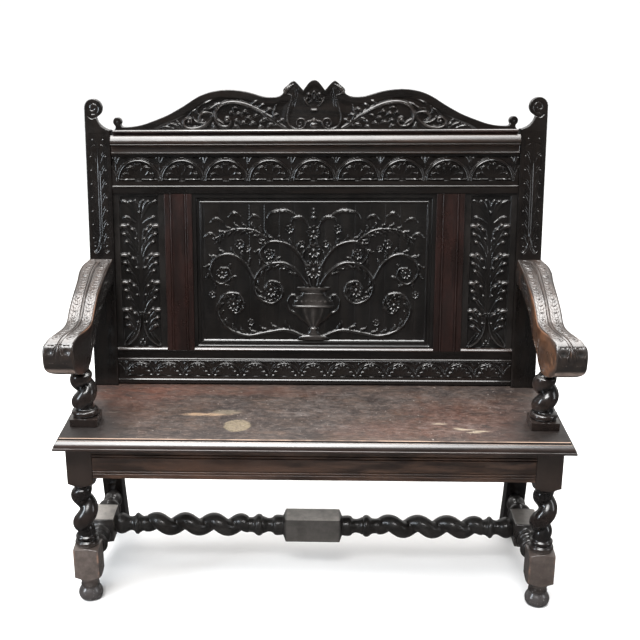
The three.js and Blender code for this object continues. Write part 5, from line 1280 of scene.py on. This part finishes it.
def arm_carving(U, V, total):
    """U across from the middle, V along from the post. Returns the carved height, 0 at the surface."""
    F = Field(U, V, 0.0)
    half = 31.0
    end = total - 66
    vein = [(0, 16), (1.4, end * .3), (-.8, end * .66), (0, end)]
    F.stroke(vein, [1.6, 2.3, 2.3, 2.0], [.6, 1.2, 1.2, .9], "soft", "add")
    for s in (-1, 1):
        F.stroke([(a + s * 3.5, b) for a, b in vein], [.9, 1.25, 1.25, 1.0], [1.2, 2.0, 2.0, 1.5], "soft", "cut")
        # border line along each edge, turning round the leaf at the post
        F.stroke([(s * 4.6, 44), (s * 6.2, 22), (s * 12, 9.5), (s * 20, 8.5), (s * 26, 20), (s * 27.2, 44), (s * 27.2, end * .5), (s * 27.2, end - 4)], [.9, 1.15, 1.15, 1.15, 1.15, 1.1, 1.1, .8], [1.0, 1.6, 1.6, 1.6, 1.6, 1.5, 1.4, .8], "soft", "cut")
        # fine wavy lines between the vein and the border
        v = np.arange(26, end - 16, 6.5)
        for u0, amp, ph in ((9.4, 1.2, 0.0), (14.6, 1.6, 1.6), (20.6, 1.3, 3.1)):
            F.stroke(np.stack([s * (u0 + amp * np.sin(v / 5.4 + ph)), v], -1), .8, .42, "soft", "cut")
        # overlapping scallops of the leaf
        for j, v0 in enumerate(np.arange(34, end - 20, 13.2)):
            F.stroke([(s * 5.4, v0 - 7), (s * 10, v0 + .5), (s * 16, v0 + 3.0), (s * 22, v0 - .5), (s * 25.4, v0 - 7)], [.7, 1.05, 1.1, 1.05, .7], [.3, .62, .7, .62, .3], "soft", "cut")
        # short deep nicks down the middle of each half, and two long eyes near the post
        for v0 in np.arange(128, end - 14, 23.0):
            F.stroke([(s * 11.4, v0), (s * 15.4, v0 + 3.0), (s * 19.6, v0 + .5)], [.8, 1.7, .8], [1.0, 2.5, 1.0], "soft", "cut")
        for v0 in (48, 92):
            F.stroke([(s * 9, v0 + 1), (s * 15, v0 + 5.0), (s * 21.6, v0)], [1.0, 2.7, 1.0], [1.4, 3.4, 1.4], "soft", "cut")
            F.stroke([(s * 8.6, v0 + 6), (s * 15, v0 + 10.4), (s * 22, v0 + 6)], [1.4, 2.4, 1.4], [.3, .9, .3], "soft", "add")
            F.blob(s * 20.5, v0 - 18, 1.5, 1.7, 2.0, how="cut", kind="soft")
    # palmette over the front of the roll, with a hollow eye on each side
    c = total - 40
    F.stroke([(0, end - 2), (0, c - 12), (0, c + 4)], [1.4, 3.4, 1.4], [.8, 2.2, .6], "round", "add")
    for s in (-1, 1):
        for a, b, w in ((4.6, 5, 1.2), (10.5, 1, 1.2)):
            F.stroke([(s * 1.8, c - 30), (s * (a * .75), c - 18), (s * a, c - 4 + b * .4), (s * (a + .6), c + b)], [.8, w, w * 1.1, .7], [1.0, 2.0, 2.2, .8], "soft", "cut")
        F.stroke([(s * 2.2, c - 29), (s * 9, c - 27.5), (s * 17, c - 26), (s * 25, c - 28)], [.8, 1.3, 1.3, .8], [.8, 1.9, 1.9, .8], "soft", "cut")
        F.blob(s * 17.0, c - 11, 8.6, 10.4, 2.6, how="cut", kind="soft")
        F.stroke([(s * 7.8, c - 7.5), (s * 11.0, c - .6), (s * 17.5, c + 1.6), (s * 24.2, c - 3.0), (s * 26.6, c - 11)], [1.2, 1.9, 2.2, 1.9, 1.1], [.7, 1.7, 2.0, 1.7, .7], "round", "add")
        F.stroke([(s * 7, c + 3), (s * 14, c + 8.5), (s * 22, c + 7), (s * 27, c - 1)], [.8, 1.5, 1.5, .8], [.8, 1.9, 1.9, .8], "soft", "cut")
        F.stroke([(s * 2, c + 10), (s * 8, c + 15), (s * 17, c + 16), (s * 24, c + 12)], [.7, 1.1, 1.1, .7], [.5, 1.0, 1.0, .5], "soft", "cut")
    F.Z *= ramp(half - np.abs(U), .6, 4.0)
    return F.Z


def build_arm(name, s, mat, nodes):
    top = spline(arm_top, 1.3 if FINE else 3.0)
    low = spline(arm_low, 2.6 if FINE else 4.0)
    # the same front-to-back stations above and below, so the sides can be laddered
    yt = np.concatenate([[9.9], 9.9 + np.cumsum(np.concatenate([np.full(8, .22), np.full(8, .55), np.full(10, 1.1)]))])
    ys = np.concatenate([yt, np.linspace(yt[-1], 386, 430 if FINE else 110)[1:]])

    def height(P, y):
        o = np.argsort(P[:, 0], kind="stable")
        return np.interp(y, P[o, 0], P[o, 1])
    zt, zl = height(top, ys), height(low, ys)
    zt[0] = zl[0] = 660.5
    xi, xo, un = (pchip(arm_st[:, 0], arm_st[:, i], np.clip(ys, 10, 386)) for i in (1, 2, 3))
    K = len(ys)
    # strip: from the post along the top, round the nose and back underneath
    py = np.concatenate([ys[::-1], ys[1:]])
    pz = np.concatenate([zt[::-1], zl[1:]])
    pxi = np.concatenate([xi[::-1], (xi + un)[1:]])
    pxo = np.concatenate([xo[::-1], xo[1:]])
    d = np.stack([np.gradient(py), np.gradient(pz)], -1)
    d /= np.linalg.norm(d, axis=1)[:, None]
    nrm = np.stack([d[:, 1], -d[:, 0]], -1)               # outwards
    nrm[:, 0], nrm[:, 1] = -nrm[:, 0], -nrm[:, 1]
    if nrm[5, 1] < 0:
        nrm = -nrm
    arc_len = np.concatenate([[0], np.cumsum(np.hypot(np.diff(py), np.diff(pz)))])
    nose = arc_len[K - 1]
    e = np.array([0, .5, 1.3, 2.4, 3.8])
    half = 1.0
    na = 116 if FINE else 26
    across = np.concatenate([e / 64.0, np.linspace(5.2 / 64, 1 - 5.2 / 64, na), 1 - e[::-1] / 64.0])
    A, S = np.meshgrid(across, np.arange(len(py)))
    W = (pxo - pxi)[:, None]
    X = pxi[:, None] + A * W
    Uc = (A - .5) * 62.0
    rnd = edge_round(np.minimum(A, 1 - A) * 64.0, 4.2)
    Vl = np.repeat(arc_len[:, None], len(across), 1)
    total = nose + 36.0
    carve = arm_carving(Uc.ravel(), Vl.ravel(), total).reshape(Uc.shape)
    carve *= (1 - ramp(Vl, total - 16, total - 4))
    off = carve - rnd
    Y = py[:, None] + nrm[:, :1] * off
    Z = pz[:, None] + nrm[:, 1:] * off
    stop = BACK_Y + RAKE * (Z - SEAT_UNDER) - .2
    Y = np.minimum(Y, stop)
    nS, nA = Y.shape
    idx = np.arange(nS * nA).reshape(nS, nA)
    v = np.stack([X.ravel(), Y.ravel(), Z.ravel()], -1)
    q = np.stack([idx[:-1, :-1], idx[:-1, 1:], idx[1:, 1:], idx[1:, :-1]], -1).reshape(-1, 4)
    # sides: ladder between the top row and the row underneath at the same y
    faces = [q]
    extra = []
    base = len(v)
    rows = 5
    for col in (0, nA - 1):
        t_i = idx[:K, col][::-1]                          # from nose to post, top
        b_i = idx[K - 1:, col]                            # from nose to post, underside
        tv, bv = v[t_i], v[b_i]
        grid = [t_i]
        for r in range(1, rows):
            f = r / rows
            m = tv * (1 - f) + bv * f
            bulge = 1.6 * math.sin(math.pi * f) * ramp(np.linalg.norm(tv - bv, axis=1), 4, 40)
            m[:, 0] -= bulge * (1 if col == 0 else -.0)
            # fewer than two points meet at the nose
            extra.append(m[1:])
            ids = np.concatenate([[t_i[0]], base + np.arange(len(m) - 1)])
            base += len(m) - 1
            grid.append(ids)
        grid.append(b_i)
        for a, b in zip(grid[:-1], grid[1:]):
            quad = np.stack([a[:-1], a[1:], b[1:], b[:-1]], -1)
            if col == 0:
                quad = quad[:, ::-1]
            tri = quad[0]
            faces.append(quad[1:])
            u = list(dict.fromkeys(tri.tolist()))
            if len(u) >= 3:
                faces.append(u)
        if col == 0:
            g0 = [g[-1] for g in grid]
        else:
            g1 = [g[-1] for g in grid]
    # inner sides: worn orange, stronger on the right arm partly as painted light from the left, and held low on the
    # left arm as painted shade
    inner_side_wear_and_light = [np.clip((k if s > 0 else k * .1) * (1 - ramp(m[:, 1], 120, 250)) + .2, 0, 1) for k, m in zip((.86, .6, .52, .74), extra)]
    v = np.vstack([v] + extra)
    # end against the post
    cap = list(idx[0, :]) + g1[1:-1] + list(idx[-1, ::-1]) + g0[1:-1][::-1]
    faces.append(cap[::-1])
    rise = np.clip(.44 + carve / 6.0, 0, .52)
    front = ramp(py, 30, 70) * (1 - ramp(py, 150, 300))
    edge_in = np.exp(-(A * 64.0 / 5.0) ** 2) * (.42 + .62 * front[:, None])
    edge_out = np.exp(-((1 - A) * 64.0 / 2.6) ** 2) * (.42 + .3 * front[:, None])
    rise = np.concatenate([np.clip(np.maximum(rise, edge_in + edge_out), 0, 1).ravel()] + inner_side_wear_and_light)
    if s < 0:
        v[:, 0] *= -1
        faces = [f[:, ::-1] if isinstance(f, np.ndarray) else f[::-1] for f in faces]
    return make(name, v, faces, mat, nodes, 42.0, rise)


build_arm("arm_right_carved", 1, M["arm"], ["arm_right"])
build_arm("arm_left_carved", -1, M["arm"], ["arm_left"])


# ------------------------------------------------------------------ turned work
def profile(knots):
    k = np.array(knots, float)
    return lambda t: pchip(k[:, 0], k[:, 1], np.clip(t, k[0, 0], k[-1, 0]))


def tube(T, PHI, t0, t1, angle, e0, rho, fade):
    """Radius of a round strand of radius rho wound about the axis between t0 and t1."""
    R = np.zeros(np.broadcast(T, PHI).shape)
    for d in np.linspace(-rho * .98, rho * .98, 45):
        t = T + d
        edge = np.clip(np.minimum((t - t0) / fade, (t1 - t) / fade), 0, 1)
        edge = edge * edge * (3 - 2 * edge)
        e = e0 * edge
        r2 = (rho * (.93 + .07 * edge)) ** 2 - d * d
        a = PHI - angle(t)
        h = r2 - (e * np.sin(a)) ** 2
        R = np.maximum(R, np.where((h > 0) & (t > t0) & (t < t1), e * np.cos(a) + np.sqrt(np.maximum(h, 0)), 0))
    return R


leg_prof = profile([
    (6, 18.5), (6.8, 20.8), (8.4, 23.6), (11, 26.4), (14.4, 28.4), (18, 29.5), (22, 29.9), (26, 29.4), (30, 28.0), (34, 26.0), (37.4, 23.6), (40.2, 21.8), (42, 21.2), (43.4, 22.0), (46, 22.8), (48.6, 22.0),
    (50.6, 21.4), (55, 21.9), (60, 23.6), (64.5, 26.4), (68.5, 30.0), (73, 35.8), (78, 44.6), (81, 47), (147, 47), (150, 45.4), (152.4, 39.2), (154.4, 33.4), (156.2, 28.9), (157.2, 26.0),
    (158, 25.6), (159, 27.6), (161, 29.0), (163.8, 29.5), (166.8, 29.0), (169.2, 27.4), (170.6, 25.4), (171.6, 24.2), (173, 24.0), (175, 24.6), (176.2, 25.8), (178.2, 26.9), (180.6, 26.9), (182.8, 25.8),
    (184.4, 23.9), (186, 22.5), (189, 21.4), (194, 20.8), (311, 20.6), (313, 21.2), (314.6, 22.4), (316.4, 22.8), (317.6, 23.4), (320, 25.6), (323, 28.6), (326, 32.6), (329, 37.4), (332.4, 43.2), (335.4, 47), (436, 47)])


def leg_radius(lift):
    def radius(T, PHI):
        base = np.minimum(square(PHI, LEG_HALF), leg_prof(T))
        t0, t1, pitch = 190.0, 313.0, 76.0
        tw = tube(T, PHI, t0, t1, lambda t: math.pi * 1.552 - 2 * math.pi * (t - lift - 194) / pitch, 9.4, 22.0, 24.0)
        m = ramp(np.minimum(T - t0, t1 - T), 0, 5)
        return np.where((T > t0) & (T < t1), tw * m + base * (1 - m), base)
    return radius


def stations(segments):
    return np.unique(np.round(np.concatenate([np.arange(a, b, s) for a, b, s in segments] + [[segments[-1][1]]]), 4))


dense = .9 if FINE else 2.2
leg_t = stations([(6, 80, dense), (80, 143, 9), (143, 194, .7 if FINE else 1.8), (194, 311, 1.4 if FINE else 3), (311, 341, dense), (341, SEAT_UNDER - .3, 10)])
SEG = 96 if FINE else 48


def leg_rise(T, U, V):
    r = np.hypot(U, V)
    return np.clip((r - 17) / 14.0, 0, 1) * .7 + .15 * (1 + np.clip((r - 39.5) / 3.0, 0, 1))


for side, s in (("right", 1), ("left", -1)):
    turned("front_leg_%s_turned" % side, leg_t, leg_radius(15.0 if s > 0 else -3.0), lambda u, t, v, s=s: np.stack([s * LEG_X + u, LEG_Y - v, t], -1), M["turnedZ"], ["front_leg_" + side],
           segs=SEG, rise=leg_rise, flip=True)

s0 = SEAT_TOP + .3
sup_prof = profile([
    (0, 32.6), (.8, 47), (19.2, 47), (20, 32.4), (20.3, 27.4), (21.8, 27.2), (22.6, 29.4), (24.4, 31.0), (27.2, 32.0), (30.2, 32.0), (33, 30.9), (35, 28.8), (36.4, 26.0), (37.4, 23.4), (38.6, 22.2), (41, 21.4), (44, 21.0), (124, 19.4), (131.7, 17.4)])


def sup_radius(T, PHI):
    base = np.minimum(square(PHI, 33.0), sup_prof(T))
    t0, t1, pitch = 40.0, ARM_UNDER - 2 - s0, 57.0
    tw = tube(T, PHI, t0, t1, lambda t: math.pi * 1.25 - 2 * math.pi * (t - 43) / pitch, 8.8, 22.6, 14.0)
    m = ramp(np.minimum(T - t0, t1 - T), 0, 5)
    return np.where((T > t0) & (T < t1), tw * m + base * (1 - m), base)


sup_t = stations([(0, 20.6, 1.0), (20.6, 44, .7 if FINE else 1.6), (44, ARM_UNDER - .3 - s0, 1.3 if FINE else 3)])
for side, s in (("right", 1), ("left", -1)):
    turned("arm_support_%s_turned" % side, sup_t, sup_radius, lambda u, t, v, s=s: np.stack([s * SUPPORT_X + u, SUPPORT_Y - v, s0 + t], -1), M["turnedZ"],
           ["arm_support_" + side], segs=SEG, rise=leg_rise, flip=True)

ff, rf = LEG_Y + LEG_HALF, 357 + (180 - STRETCH_Z) * (13 / 60)
side_prof = profile([
    (ff + .3, 19.6), (102, 21.6), (104, 23.2), (106, 22.6), (107.4, 24.4), (109.4, 27.2), (112.6, 28.8), (115.8, 28.2), (118.6, 26.2), (121, 23.4), (123.4, 20.4), (127, 18.2), (131, 17.4), (135, 17.9), (138.6, 19.8), (140, 21.8), (141.4, 21.4), (143, 23.8),
    (146.4, 27.0), (150.6, 28.4), (154.6, 28.0), (158, 26.0), (160.6, 23.6), (162.4, 22.4), (165, 23.2), (168, 26.4), (171, 31.6), (174.4, 39), (178, 46.5), (181, 47), (250, 47), (253, 46.5), (256.6, 39), (259.6, 31.6), (262.4, 25.4),
    (264.4, 21.8), (267, 21.2), (270, 22.2), (274, 24.2), (278, 26.8), (282, 28.8), (286, 29.9), (290, 29.8), (294, 28.2), (297.4, 25.4), (300, 22.0), (302.6, 19.4), (307, 17.6), (313, 17.3), (319, 19.0), (325, 21.6), (331, 23.5), (337, 24.2), (343, 23.4), (349, 20.8), (rf - 5.1, 18.4)])
side_t = stations([(ff + .3, 181, dense), (181, 250, 9), (250, rf - 5.1, dense)])
for side, s in (("right", 1), ("left", -1)):
    turned("side_stretcher_%s_turned" % side, side_t, lambda T, P: np.minimum(square(P, BLOCK), side_prof(T)),
           lambda u, t, v, s=s: np.stack([s * STRETCH_X + u, t, STRETCH_Z + v], -1), M["turnedY"], ["side_stretcher_" + side], segs=SEG, rise=leg_rise, flip=True)

side_in = STRETCH_X - BLOCK
inner_k = [(76, 24.6), (79, 25.2), (86, 25.9), (90, 26.0), (95, 25.2), (98.4, 23.4), (100.6, 21.0), (103, 19.2), (108, 17.6), (113, 17.4), (118, 18.6), (123, 20.6), (126, 22.0), (127.4, 21.6), (129, 23.6), (132, 26.2), (136.4, 27.6), (140.8, 27.0), (144.4, 25.0), (147.4, 22.4), (150.6, 20.2), (155, 19.0), (160, 18.8), (166, 18.8)]
outer_k = [(430, 18.8), (436, 19.2), (440, 20.8), (442.4, 22.6), (443.6, 22.4), (445, 24.8), (447.6, 26.8), (450, 27.2), (453, 26.2), (455.4, 23.8), (457.4, 21.0), (460.6, 18.9), (465, 17.8), (470, 18.6), (475, 20.8), (480, 23.6), (485.6, 26.0), (491, 26.8), (496, 26.0), (501, 24.0), (side_in - .3, 21.6)]
mid_k = [(0, 47), (64, 47), (67, 45.5), (70, 38.4), (72.4, 31.6), (74.2, 27.0)]
ck = mid_k + inner_k + outer_k
cen_prof = profile([(-a, b) for a, b in ck[::-1]][:-1] + ck)


def cen_radius(T, PHI):
    base = np.minimum(square(PHI, BLOCK), cen_prof(T))
    tw = 0
    m = 0
    for sgn, pk in ((-1, -322.0), (1, 274.0)):
        lo, hi = (162.0, 434.0) if sgn > 0 else (-434.0, -162.0)
        one = tube(T, PHI, lo, hi, lambda t: 2 * math.pi * (t - pk) / 74.0, 8.0, 21.6, 26.0)
        k = ramp(np.minimum(T - lo, hi - T), 0, 5)
        tw = tw + one * k
        m = m + k
    return tw + base * (1 - m)


dn = .9 if FINE else 2.4
half_t = stations([(0, 62, 10), (62, 166, dn), (166, 430, 1.7 if FINE else 3.4), (430, side_in - .3, dn)])
cen_t = np.concatenate([-half_t[::-1][:-1], half_t])
# section angle 0 is up, turning towards the front
turned("centre_stretcher_turned", cen_t, cen_radius, lambda u, t, v: np.stack([t, STRETCH_Y - v, STRETCH_Z + u], -1), M["turnedX"], ["centre_stretcher"],
       segs=SEG, rise=leg_rise, flip=False)

# -------------------------------------------------------------------- seat boards
mould = [(0, .8), (.6, .1), (1.4, 0), (4.6, 0), (5.4, .3), (5.8, 1.3), (6.4, 1.7)]
mould += [(7.0 + 13.2 * t, 1.9 + 7.8 * (t ** 1.9)) for t in np.linspace(0, 1, 12)]
mould += [(20.6, 10.4), (21.0, 11.0), (21.2, 12.0), (21.8, 12.5), (25.0, 12.6), (25.7, 12.9), (26.0, 13.8)]


def seat_board(name, y0, y1, front, nodes, notch=False):
    rings = []
    for dz, ins in mould:
        x = SEAT_HALF - ins
        a = y0 + (ins if front else 0)
        if notch:
            nx, ny = POST_IN - .3, BACK_Y - .3
            pts = [(-x, a), (x, a), (x, ny), (nx, ny), (nx, y1), (-nx, y1), (-nx, ny), (-x, ny)]
        else:
            pts = [(-x, a), (x, a), (x, y1), (-x, y1)]
        rings.append([(px, py, SEAT_UNDER + dz) for px, py in pts])
    R = np.array(rings)
    n, k, _ = R.shape
    idx = np.arange(n * k).reshape(n, k)
    nx_ = np.roll(idx, -1, 1)
    q = np.stack([idx[:-1], nx_[:-1], nx_[1:], idx[1:]], -1).reshape(-1, 4)
    ob = make(name, R.reshape(-1, 3), [q, list(idx[0][::-1]), list(idx[-1])], M["seat"], nodes, 26.0)
    ob.data.materials.append(M["edge"])
    me = ob.data
    for p in me.polygons:
        z = p.center.z * 1000 + FLOOR
        if p.normal.z < .95 and z < SEAT_TOP - .05:
            p.material_index = 1
    return ob


seat_board("seat_board_front_moulded", 0, SEAT_JOINT - .15, True, ["seat_board_front"])
seat_board("seat_board_rear_moulded", SEAT_JOINT + .15, 372, False, ["seat_board_rear"], notch=True)

# ------------------------------------------------------------------------ aprons
def apron_profile(y_front, y_back, z0, z1, lines):
    """Front face towards -y, with scratched lines."""
    pts = [(y_back, z0), (y_back, z1), (y_front + .6, z1), (y_front, z1 - .6)]
    for z in sorted(lines, reverse=True):
        pts += [(y_front, z + 2.0), (y_front + .5, z + 1.3), (y_front + 2.8, z + .2), (y_front + 2.8, z - .2), (y_front + .5, z - 1.3), (y_front, z - 2.0)]
    pts += [(y_front, z0 + 1.2), (y_front + .4, z0 + .3), (y_front + 1.2, z0)]
    return pts


leg_in = LEG_X - LEG_HALF
prism("front_apron_lined", apron_profile(39, 63, APRON_LOW, SEAT_UNDER - .3, (409.5, 402.3, 367.2, 360.6)), -(leg_in - .3), leg_in - .3, M["apron"], ["front_apron"], back=False, sharp=28)


def side_apron(name, s, nodes):
    y0, y1 = LEG_Y + LEG_HALF + .3, 340.8
    prof = np.array(apron_profile(0, 22, APRON_LOW, SEAT_UNDER - .3, (409.5, 402.3, 367.2, 360.6)))
    k = len(prof)
    v = []
    for y in (y0, y1):
        v.append(np.stack([s * (561 - prof[:, 0]), np.full(k, y), prof[:, 1]], -1))
    v = np.vstack(v)
    i = np.arange(k)
    j = np.roll(i, -1)
    faces = [np.stack([i, i + k, j + k, j], -1), list(range(k))[::-1], list(k + i)]
    if s < 0:
        faces = [f[:, ::-1] if isinstance(f, np.ndarray) else f[::-1] for f in faces]
    return make(name, v, faces, M["apronY"], nodes, 28.0)


side_apron("side_apron_right_lined", 1, ["side_apron_right"])
side_apron("side_apron_left_lined", -1, ["side_apron_left"])

# ------------------------------------- pieces that keep their frame shape as it is
for nm, mt in (("rear_seat_rail", M["frameX"]), ("front_corner_block_right", M["hidden"]), ("front_corner_block_left", M["hidden"]), ("rear_corner_block_right", M["hidden"]),
               ("rear_corner_block_left", M["hidden"]), ("crest_dowel_1", M["hidden"]), ("crest_dowel_2", M["hidden"]), ("crest_dowel_3", M["hidden"])):
    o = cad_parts[nm]
    o.data.materials.clear()
    o.data.materials.append(mt)
    if "dowel" not in nm:
        b = o.modifiers.new("edge", "BEVEL")
        b.width, b.segments, b.limit_method = .0012, 2, "ANGLE"

# ------------------------------------------------------------- floor, light, view
def plain(name, col, rough):
    m = bpy.data.materials.new(name)
    m.use_nodes = True
    nt = m.node_tree
    b = nt.nodes["Principled BSDF"]
    b.inputs["Roughness"].default_value = rough
    b.inputs["Specular IOR Level"].default_value = .2
    tc = node(nt, "ShaderNodeTexCoord").outputs["Object"]
    c = mix(nt, noise(nt, tc, 3.0, 2), tuple(x * .985 for x in col), col)
    nt.links.new(c, b.inputs["Base Color"])
    return m


me = bpy.data.meshes.new("floor")
me.from_pydata([(-90, -90, 0), (90, -90, 0), (90, 90, 0), (-90, 90, 0)], [], [(0, 1, 2, 3)])
me.materials.append(plain("floor_pale", (.965, .963, .96), .8))
floor = bpy.data.objects.new("floor", me)
bpy.context.scene.collection.objects.link(floor)
floor.visible_glossy = False          # the varnish doesn't mirror the pale floor

world = bpy.data.worlds.new("studio")
bpy.context.scene.world = world
world.use_nodes = True
wt = world.node_tree
bg = wt.nodes["Background"]
lp = wt.nodes.new("ShaderNodeLightPath")
way = wt.nodes.new("ShaderNodeSeparateXYZ")      # direction seen: a white backdrop behind, dark room in front
wt.links.new(node(wt, "ShaderNodeTexCoord").outputs["Generated"], way.inputs[0])
drop = calc(wt, "MULTIPLY", levels(wt, way.outputs[1], .15, .7), levels(wt, way.outputs[2], -.1, .12))
room = mix(wt, drop, (.072, .070, .070), (.80, .79, .775))
wt.links.new(mix(wt, lp.outputs["Is Camera Ray"], room, (1.0, 1.0, 1.0)), bg.inputs[0])
bg.inputs[1].default_value = 1.0


def area(name, loc, target, size, power, col=(1, 1, 1)):
    L = bpy.data.lights.new(name, "AREA")
    L.shape, L.size, L.size_y, L.energy, L.color = "RECTANGLE", size[0], size[1], power, col
    o = bpy.data.objects.new(name, L)
    o.location = loc
    d = Vector(target) - Vector(loc)
    o.rotation_euler = d.to_track_quat("-Z", "Y").to_euler()
    o.visible_camera = False
    bpy.context.scene.collection.objects.link(o)
    return o


sun = bpy.data.lights.new("overhead", "SUN")
sun.energy, sun.angle = 3.1, math.radians(40)
so = bpy.data.objects.new("overhead", sun)
so.rotation_euler = (-Vector((-.16, -.47, .868))).to_track_quat("-Z", "Y").to_euler()
bpy.context.scene.collection.objects.link(so)
area("window_left", (-2.4, -1.3, 1.5), (0, 0, .5), (.55, 1.7), 36, (.84, .92, 1))
area("window_right", (2.5, -1.0, 1.4), (0, 0, .5), (.5, 1.6), 10, (.94, .97, 1))
area("top", (0, .42, 3.1), (0, .42, .6), (2.8, 2.1), 160, (1, .985, .97))
area("over_front", (-.32, -1.22, 3.0), (-.05, .1, .9), (1.5, 1.2), 25, (1, .985, .97))
area("top_front", (-.45, -1.95, 2.65), (0, .25, .9), (1.0, .36), 15, (1, .98, .96))

# camera, fitted to the photograph's straight edges
cam = dict(f=1075.4888, cx=14.8167, cy=-2228.7924, cz=1514.6205, yaw=-.0426, pitch=-.3269, roll=-.0096, ppx=275.8386)
cd = bpy.data.cameras.new("camera")
cd.sensor_fit, cd.sensor_width = "HORIZONTAL", 36.0
cd.lens = cam["f"] / 640 * 36
cd.shift_x = (320 - cam["ppx"]) / 640
cd.clip_start, cd.clip_end = .1, 200
co = bpy.data.objects.new("camera", cd)
sy, cyw = math.sin(cam["yaw"]), math.cos(cam["yaw"])
sp, cp = math.sin(cam["pitch"]), math.cos(cam["pitch"])
fwd = Vector((sy * cp, cyw * cp, sp))
r0 = Vector((cyw, -sy, 0))
u0 = r0.cross(fwd)
cr, sr = math.cos(cam["roll"]), math.sin(cam["roll"])
r1, u1 = cr * r0 + sr * u0, -sr * r0 + cr * u0
co.matrix_world = Matrix(((r1.x, u1.x, -fwd.x, cam["cx"] / 1000), (r1.y, u1.y, -fwd.y, (cam["cy"] - YM) / 1000), (r1.z, u1.z, -fwd.z, (cam["cz"] - FLOOR) / 1000), (0, 0, 0, 1)))
bpy.context.scene.collection.objects.link(co)
bpy.context.scene.camera = co
bpy.context.scene.view_settings.view_transform = "Standard"
bpy.context.scene.view_settings.look = "None"
